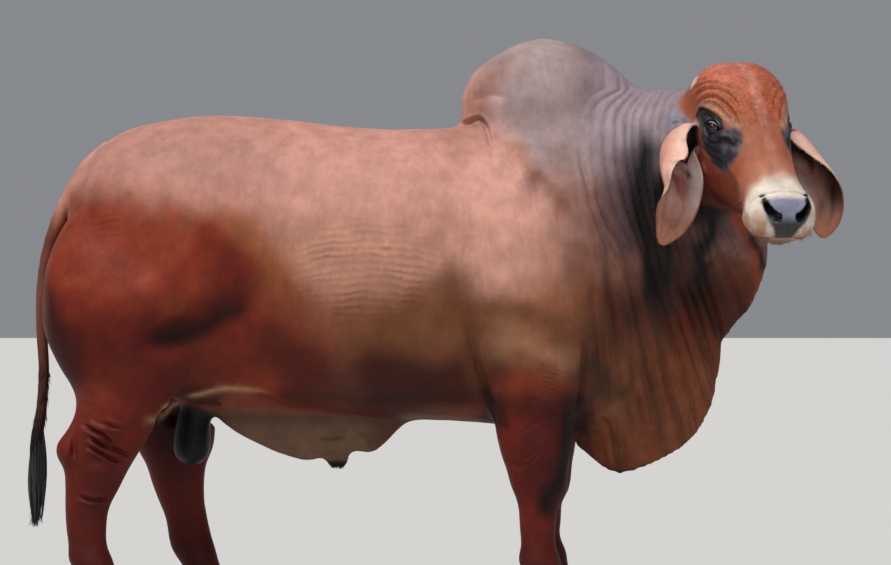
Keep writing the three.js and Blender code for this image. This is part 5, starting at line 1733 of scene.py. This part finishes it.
# Height: hair grain over streaks, ripples, curls and the pebbled skin of the nose.
turn = coat.maths("ADD", coat.product(phase, FULL_TURN), coat.product(mottle, 9.0))
wave = coat.maths("SINE", turn)
height = coat.product(grain, 0.55)
for layer, share in [(streak, 0.7), (mottle, 2.4), (crepe, 2.2), (wave, depth),
                     (coat.product(whorl, curls), 3.0), (coat.product(pebble, bare_skin), 0.45)]:
    height = coat.maths("ADD", height, coat.product(layer, share))
coat.bump(height)
hide.data.materials.clear()
hide.data.materials.append(coat.material)
hide.data.polygons.foreach_set("material_index", np.zeros(len(hide.data.polygons), np.int32))
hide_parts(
    "torso", "hump", "neck", "dewlap", "head", "ear_right", "ear_left", "sheath", "scrotum",
    "foreleg_right", "foreleg_left", "hindleg_right", "hindleg_left", "tail",
)
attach(hide, "root")

# %% Lids as pieces
lid_skin = Look("lid_skin", Roughness=0.4, Specular_IOR_Level=0.45)
lid_skin.feed(Base_Color=lid_skin.attribute("Coat", "Color"))
lid_skin.bump(lid_skin.product(lid_skin.grain(260.0), 0.5))
for side, rings in lid_rings.items():
    name = "lids_right" if side < 0 else "lids_left"
    rows, columns = rings.shape[:2]
    faces = sheet_faces(rows, columns)
    lids = mesh_object(name, metres(rings.reshape(-1, 3)), faces if side < 0 else faces[:, ::-1])
    share = np.repeat(np.clip((np.arange(rows) - 1) / (rows - 2), 0, 1), columns)
    upper = ramp(0.0, 0.6, np.sin(np.tile(circle(columns), rows)))
    paint = hide_paint(points_of(lids))[0]
    paint = glaze(paint, ramp(0.75, 0.5, share), (17, 14, 18))
    fold = ramp(0.14, 0.2, share) * ramp(0.46, 0.36, share)
    paint = glaze(
        paint,
        0.9 * fold * upper, (132, 118, 130),
        0.6 * fold * (1 - upper), (58, 54, 64),
    )
    store(lids, "Coat", "FLOAT_COLOR", paint)
    lids.data.materials.append(lid_skin.material)
    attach(lids, "root")

# %% Eyeballs
def eyeball(side):
    """A ball with a cornea: the radius swells a little where it faces along the gaze."""
    middle, axes = eye_frame(side)
    tall = np.linspace(0, np.pi, 65)[1:-1]
    turn = circle(96)
    cornea = 1.9 * np.exp(-((tall / 0.5) ** 4))
    radius = EYE["radius"] - 1.0 + cornea
    ring = np.stack(
        [
            (radius * np.sin(tall))[:, None] * np.cos(turn),
            (radius * np.sin(tall))[:, None] * np.sin(turn),
            (radius * np.cos(tall))[:, None] + 0 * turn,
        ],
        -1,
    )
    return loft(middle + ring @ axes), ring


iris = Look("eye", Roughness=0.08, Coat_Weight=0.5, Coat_Roughness=0.03, Specular_IOR_Level=0.35)
place = iris.node("UVMap", {"uv_map": "Gaze"}).outputs["UV"]
flat = iris.node("SeparateXYZ", Vector=place)
pupil = iris.node("CombineXYZ", X=iris.maths("DIVIDE", flat.outputs[0], 1.75), Y=flat.outputs[1])
size, reach = [iris.node("VectorMath", {"operation": "LENGTH"}, i0=part).outputs["Value"]
               for part in (pupil.outputs[0], place)]
rays = iris.node("TexNoise", Vector=place, Scale=24.0, Detail=4.0).outputs["Fac"]
red = iris.spread(rays, first=0.006, last=0.03)
brown = iris.node("CombineColor", Red=red, Green=0.007, Blue=0.005).outputs[0]
# From the middle out: the black pupil, the brown iris and the dark white.
colour = (0.002, 0.002, 0.003, 1)
for edge, past in [(iris.spread(size, 0.15, 0.18), brown),
                   (iris.spread(reach, 0.56, 0.64), (0.035, 0.024, 0.022, 1))]:
    mix = iris.node("Mix", {"data_type": "RGBA"}, Factor=edge, i6=colour, i7=past)
    colour = mix.outputs[2]
iris.feed(Base_Color=colour)
for side, name in ((-1, "eye_right"), (1, "eye_left")):
    (points, faces), ring = eyeball(side)
    eye = mesh_object(name + "_look", metres(points), faces)
    gaze_map = np.vstack([ring.reshape(-1, 3), [[0, 0, 0], [0, 0, -22]]])[:, :2] / EYE["radius"]
    layer = eye.data.uv_layers.new(name="Gaze")
    corner = numbers(eye.data.loops, "vertex_index", 1, np.int32)
    layer.data.foreach_set("uv", gaze_map[corner].astype(np.float32).ravel())
    eye.data.materials.append(iris.material)
    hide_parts(name)
    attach(eye, "root")

# %% [markdown]
# ## Hooves and the tail's brush
#
# A cow's foot has two claws. Each is a horn box that leans forward from the sole to the hairy
# rim, with growth rings that run level round it. The brush of the tail is made of long locks:
# flat tapered strips with a little twist, each one a small ring carried down a curved path.

# %% Claws
CLAW = {"length": 150, "width": 60, "cleft": 5, "toe_lean": 42, "heel_lean": 10, "ahead": 14}
CORONET = 88


def claw(x, y, side):
    """One claw, from its flat sole to the rim under the hair, with rings of growth."""
    share = np.linspace(0, 1, 40)
    swell = 1 + 0.012 * np.sin(2 * np.pi * share * 9) + 0.02 * np.sin(np.pi * share)
    front = x + CLAW["ahead"] + CLAW["length"] / 2 - share * CLAW["toe_lean"]
    back = x + CLAW["ahead"] - CLAW["length"] / 2 + share * CLAW["heel_lean"]
    half = CLAW["width"] / 2 * (1 - 0.05 * share) * swell
    middle = y + side * (CLAW["cleft"] / 2 + CLAW["width"] / 2)
    angle = circle(48, 0.5)
    c, s = np.cos(angle), np.sin(angle)
    # The outer wall is round; the wall at the cleft is flatter, and the toe turns in a little.
    flat = np.where(s * side > 0, 1.0, 0.9)
    centre, reach = (front + back) / 2, (front - back) / 2
    along = centre[:, None] + reach[:, None] * bulged(c, 0.8) * swell[:, None]
    wide = bulged(s, 0.8) * half[:, None] * flat
    across = middle + wide - side * 5 * ramp(0.4, 1, c) * (1 - 0.4 * share[:, None])
    z = (share * (CORONET + 1.5))[:, None] + 2.5 * ramp(0.2, 1, -c) * share[:, None]
    rings = np.stack([along, across, z + 0 * along], -1)
    return loft(np.concatenate([[rings[0] * [1, 1, 0] + 0 * rings[0]], rings]))


horn = Look("hoof", Roughness=0.55, Specular_IOR_Level=0.4)
layers = horn.grain(16.0, (0.5, 0.5, 8), 4.0)
horn.feed(Base_Color=horn.scaled((0.062, 0.045, 0.036), horn.spread(layers, 0.3, 0.7, 0.55, 1.25)))
horn.bump(horn.maths("ADD", horn.grain(120.0, (1, 1, 0.2)), layers))
for leg, (rows, side, shift) in LEGS.items():
    for place, way in (("outer", side), ("inner", -side)):
        name = f"{leg.replace('leg', 'claw')}_{place}"
        points, faces = claw(rows[0][1] + shift, side * rows[0][2], way)
        hoof = mesh_object(name + "_look", metres(points), faces)
        hoof.data.materials.append(horn.material)
        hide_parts(name)
        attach(hoof, "root")
print("claws:", 2 * len(LEGS))

# %% Brush of the tail
def strands(roots, ways, lengths, widths, bend, twist, up, sections):
    """Many tapered strands at once, as points and faces; each is a small ring down its path.

    A path starts at its root, runs its way and sags by the bend towards the ground.
    """
    t = np.linspace(0, 1, sections)
    path = roots[:, None] + ways[:, None] * (lengths[:, None] * t)[..., None]
    path = path + (lengths[:, None] * t**2)[..., None] * bend[:, None]
    side = unit(np.cross(ways, up))
    other = unit(np.cross(side, ways))
    angle = circle(4) + twist[:, None, None] * t[:, None]
    taper = (0.55 + 0.9 * t - 1.38 * t**3)[None, :] * widths[:, None]
    ring = np.cos(angle)[..., None] * side[:, None, None]
    ring = ring + 0.55 * np.sin(angle)[..., None] * other[:, None, None]
    points = path[:, :, None] + ring * taper[..., None, None]
    count = len(roots)
    index = np.arange(count * sections * 4).reshape(count, sections, 4)
    onward = np.roll(index, -1, axis=2)
    faces = np.stack([index[:, :-1], onward[:, :-1], onward[:, 1:], index[:, 1:]], -1)
    ends = np.stack([index[:, 0, ::-1], index[:, -1]], 1).reshape(-1, 4)
    return points.reshape(-1, 3), np.vstack([faces.reshape(-1, 4), ends])


def bake_places(roots, axis):
    """Where roots lie on a cylinder wrapped round an axis of the piece, from 0 to 1 each way."""
    side = unit(np.cross(axis, [0.31, 0.2, 0.93]))
    away = roots - roots.mean(0)
    turn = np.arctan2(away @ unit(np.cross(axis, side)), away @ side) / (2 * np.pi) + 0.5
    along = away @ unit(np.asarray(axis, float))
    along = (along - along.min()) / max(np.ptp(along), 1.0)
    return 0.02 + 0.96 * np.stack([turn, along], -1)


def hair_piece(name, look, slot_name, axis, sections, roots, *shape):
    """A piece of strands; the map OFBake gives each one a small patch where its root lies."""
    points, faces = strands(roots, *shape, sections)
    thing = mesh_object(name, metres(points), faces)
    corners = np.array([[0, 0], [1, 0], [1, 1], [0, 1]])
    step = np.stack(np.meshgrid(np.arange(4), np.arange(sections - 1)), -1).reshape(-1, 1, 2)
    caps = corners * 0.5 + [[[0, sections - 1]], [[2, sections - 1]]]
    place = bake_places(roots, axis)[:, None, None]
    spots = [place + 0.003 * (part / [4, sections] - 0.5) for part in (step + corners, caps)]
    layer = thing.data.uv_layers.new(name="OFBake")
    spots = np.vstack([spot.reshape(-1, 2) for spot in spots])
    layer.data.foreach_set("uv", spots.astype(np.float32).ravel())
    thing.data.materials.append(look.material)
    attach(thing, "root")
    return thing


chance = np.random.default_rng(96)
LOCKS = 420
turn = chance.uniform(0, 2 * np.pi, LOCKS)
high = chance.uniform(0, 1, LOCKS)
outward = np.stack([np.cos(turn), np.sin(turn), 0 * turn], -1)
z = 566 - 130 * high
x = through(TAIL, z)[:, 1]
roots = np.stack([x, 0 * x, z], -1) + outward * (15 - 6 * high)[:, None]
ways = unit(outward * chance.uniform(0.08, 0.19, LOCKS)[:, None] - Z_AXIS)
reach = z - (270 + 110 * chance.uniform(0, 1, LOCKS) ** 1.6)
bend = -outward * chance.uniform(0.16, 0.25, LOCKS)[:, None]
bend = bend + 0.015 * chance.normal(size=(LOCKS, 3))
widths, twist = chance.uniform(2.6, 5.0, LOCKS), chance.uniform(-2, 2, LOCKS)
bristle = Look("switch_hair", Roughness=0.42, Specular_IOR_Level=0.5)
level = bristle.spread(bristle.grain(60.0, (1, 1, 0.1), 2.0), 0.3, 0.7, 0.4, 1.8)
bristle.feed(Base_Color=bristle.scaled((0.016, 0.013, 0.015), level))
brush = hair_piece("brush_look", bristle, "switch_hair", [0, 0, 1.0], 9, roots, ways, reach,
                   widths, bend, twist, [0.3, 0.9, 0.1])
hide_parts("tail_brush")
print("locks:", LOCKS)

# %% [markdown]
# ## Tufts
#
# Most of a summer coat lies flat and is only a bump. Where it stands off the form it is made:
# short curls on the forehead, fringes on the ears, lashes, hairs on the chin and the sheath, and
# the dark fringe over the claws. A tuft is a strand like those of the brush. It grows from a point
# of the skin, takes the skin's own colour there and leans the way that the hair lies.

# %% Tufts on the skin
full, facing = points_of(hide), normals_of(hide)
local = head_places(full)
tuft_hair = Look("tuft_hair", Roughness=0.5, Specular_IOR_Level=0.2)
tuft_hair.feed(Base_Color=tuft_hair.attribute("Coat", "Color"))


def grow(name, weight, count, ways, lift, lengths, widths, axis, shade=None, sections=4):
    """Grows tufts at random points of the skin, the likelier the higher the weight.

    Their ways are turned into the skin's plane and then lifted off it by a slope.
    """
    count = min(count, int((weight > 0).sum()))
    chosen = chance.choice(len(full), count, replace=False, p=weight / weight.sum())
    normal = facing[chosen]
    ways = ways[chosen] + 0.25 * chance.normal(size=(count, 3))
    flat = unit(ways - (ways * normal).sum(1)[:, None] * normal)
    plant(name, full[chosen], normal, unit(flat + lift * normal), lengths, widths, axis, shade,
          sections)


def plant(name, places, normal, ways, lengths, widths, axis, shade=None, sections=4, curl=-0.2,
          slot_name="hide"):
    """Tufts at given places, each a little lighter or darker than the skin or the shade."""
    count = len(places)
    paint = hide_paint(places)[0] if shade is None else np.tile(colour_of(*shade), (count, 1))
    paint = paint * chance.uniform(0.7, 1.15, count)[:, None]
    thing = hair_piece(
        name, tuft_hair, slot_name, axis, sections, places - 0.8 * normal, ways,
        chance.uniform(*lengths, count), chance.uniform(*widths, count), curl * normal,
        chance.uniform(-1, 1, count), normal,
    )
    store(thing, "Coat", "FLOAT_COLOR", np.repeat(paint, sections * 4, axis=0))
    print(name + ":", count, "hairs")


down = np.tile([0.0, 0.0, -1.0], (len(full), 1))
swirl = np.stack([noise(full, 34, seed) for seed in (71, 72, 73)], -1)
away = unit(local - [150, 8, 40]) @ HEAD_AXES + 0.9 * swirl
edges, degree = net_of(hide)
hollow = ((neighbour_mean(full, edges, degree) - full) * facing).sum(1) > 0.05
grow("forehead_curls", curly * ~hollow, 2600, away, 0.05, (5, 9), (0.7, 1.2), HEAD_AXES[0])
chin = ramp(430, 500, local[:, 0]) * ramp(-140, -180, local[:, 2])
grow("chin_hair", chin * head_region(full), 240, down - 0.3 * HEAD_AXES[0], 0.5, (8, 17),
     (0.5, 0.9), HEAD_AXES[0])
lips = ramp(480, 520, local[:, 0]) * ramp(-84, -110, local[:, 2]) * (1 - bare)
grow("whiskers", lips * (local[:, 2] > -170) * head_region(full), 64, down, 1.1, (14, 28),
     (0.3, 0.45), HEAD_AXES[0], (60, 50, 44), 6)
tip = np.exp(-((full - [-292, 0, 440]) ** 2).sum(1) / 22**2)
grow("sheath_hair", tip * (tip > 0.05), 70, down, 0.3, (9, 20), (0.7, 1.2), [0, 0, 1],
     (26, 19, 18), 6)
ankle = ramp(90, 98, full[:, 2]) * ramp(114, 104, full[:, 2])
grow("claw_fringe", ankle, 560, down, 0.35, (14, 24), (1.1, 1.9), [0, 0, 1], (26, 14, 13))
low_tail = ramp(770, 620, full[:, 2]) * (full[:, 2] > 550) * (full[:, 0] < -1150)
grow("tail_hair", low_tail, 240, down, 0.12, (26, 54), (0.9, 1.6), [0, 0, 1], (24, 15, 15), 6)

# %% Ear fringes and lashes
FRINGE = 320
for far, grid in enumerate(EAR_GRIDS):
    rows = chance.integers(14, 107, FRINGE)
    rim = np.where(chance.random(FRINGE) < 0.5, 0, EAR_COLUMNS - 1)
    roots = grid[rows, rim]
    out = unit(roots - grid[rows].mean(1))
    ways = unit(0.5 * out + [0, 0, -0.9] + 0.2 * chance.normal(size=(FRINGE, 3)))
    plant(f"ear_fringe_{'left' if far else 'right'}", roots - 1.5 * out, out, ways, (4, 9),
          (0.35, 0.7), [0, 0, 1])
for side, rings in lid_rings.items():
    middle, axes = eye_frame(side)
    column = chance.permutation(np.arange(5, 44))
    roots = rings[2, column]
    ways = unit(0.8 * axes[2] - 0.35 * axes[1] + 0.3 * unit(roots - middle))
    normal = np.tile(-axes[1], (len(roots), 1))
    plant(f"lashes_{'right' if side < 0 else 'left'}", roots, normal, ways, (12, 17), (0.4, 0.6),
          axes[2], (10, 8, 9), 6, -0.3, "dark_skin")

# %% [markdown]
# ## Camera, floor and light
#
# The camera stands where the photographer did: level, about twelve metres from the animal's
# side. The light is soft: a large key from above and ahead on the camera's side, a weaker fill,
# and a pale world. The floor is one large pale sheet under the feet.

# %% Stage
camera_data = bpy.data.cameras.new("photographer")
camera_data.sensor_width, camera_data.lens = 36.0, 158.97
camera = bpy.data.objects.new("photographer", camera_data)
camera.location = (0.041, -11.862, 1.014)
camera.rotation_euler = (np.pi / 2, 0, 0)
bpy.context.scene.collection.objects.link(camera)
bpy.context.scene.camera = camera
floor = mesh_object(
    "floor", np.array([[-60, -60, 0], [60, -60, 0], [60, 60, 0], [-60, 60, 0]]) * 1.0,
    np.array([[0, 1, 2, 3]]), False,
)
pale = Look("floor", Base_Color=(0.62, 0.62, 0.61, 1), Roughness=0.85)
floor.data.materials.append(pale.material)


def area_light(name, place, aim, size, watts, colour):
    """A square soft light at a place, turned towards what it lights."""
    light = bpy.data.lights.new(name, "AREA")
    light.size, light.energy, light.color = size, watts, colour
    thing = bpy.data.objects.new(name, light)
    thing.location = place
    way = Vector(aim) - Vector(place)
    thing.rotation_euler = way.to_track_quat("-Z", "Y").to_euler()
    bpy.context.scene.collection.objects.link(thing)


sun = bpy.data.lights.new("key", "SUN")
sun.energy, sun.angle, sun.color = 3.15, np.radians(28), (1.0, 0.97, 0.93)
key = bpy.data.objects.new("key", sun)
key.rotation_euler = Vector((0.3, 0.5, -1.0)).to_track_quat("-Z", "Y").to_euler()
bpy.context.scene.collection.objects.link(key)
area_light("fill", (3.0, -9.0, 2.4), (0.2, 0, 1.0), 5.0, 70, (0.95, 0.97, 1.0))
world = bpy.data.worlds.new("pale")
world.use_nodes = True
world.node_tree.nodes["Background"].inputs["Color"].default_value = (0.9, 0.93, 1.0, 1)
world.node_tree.nodes["Background"].inputs["Strength"].default_value = 0.27
bpy.context.scene.world = world
bpy.context.scene.view_settings.view_transform = "Standard"
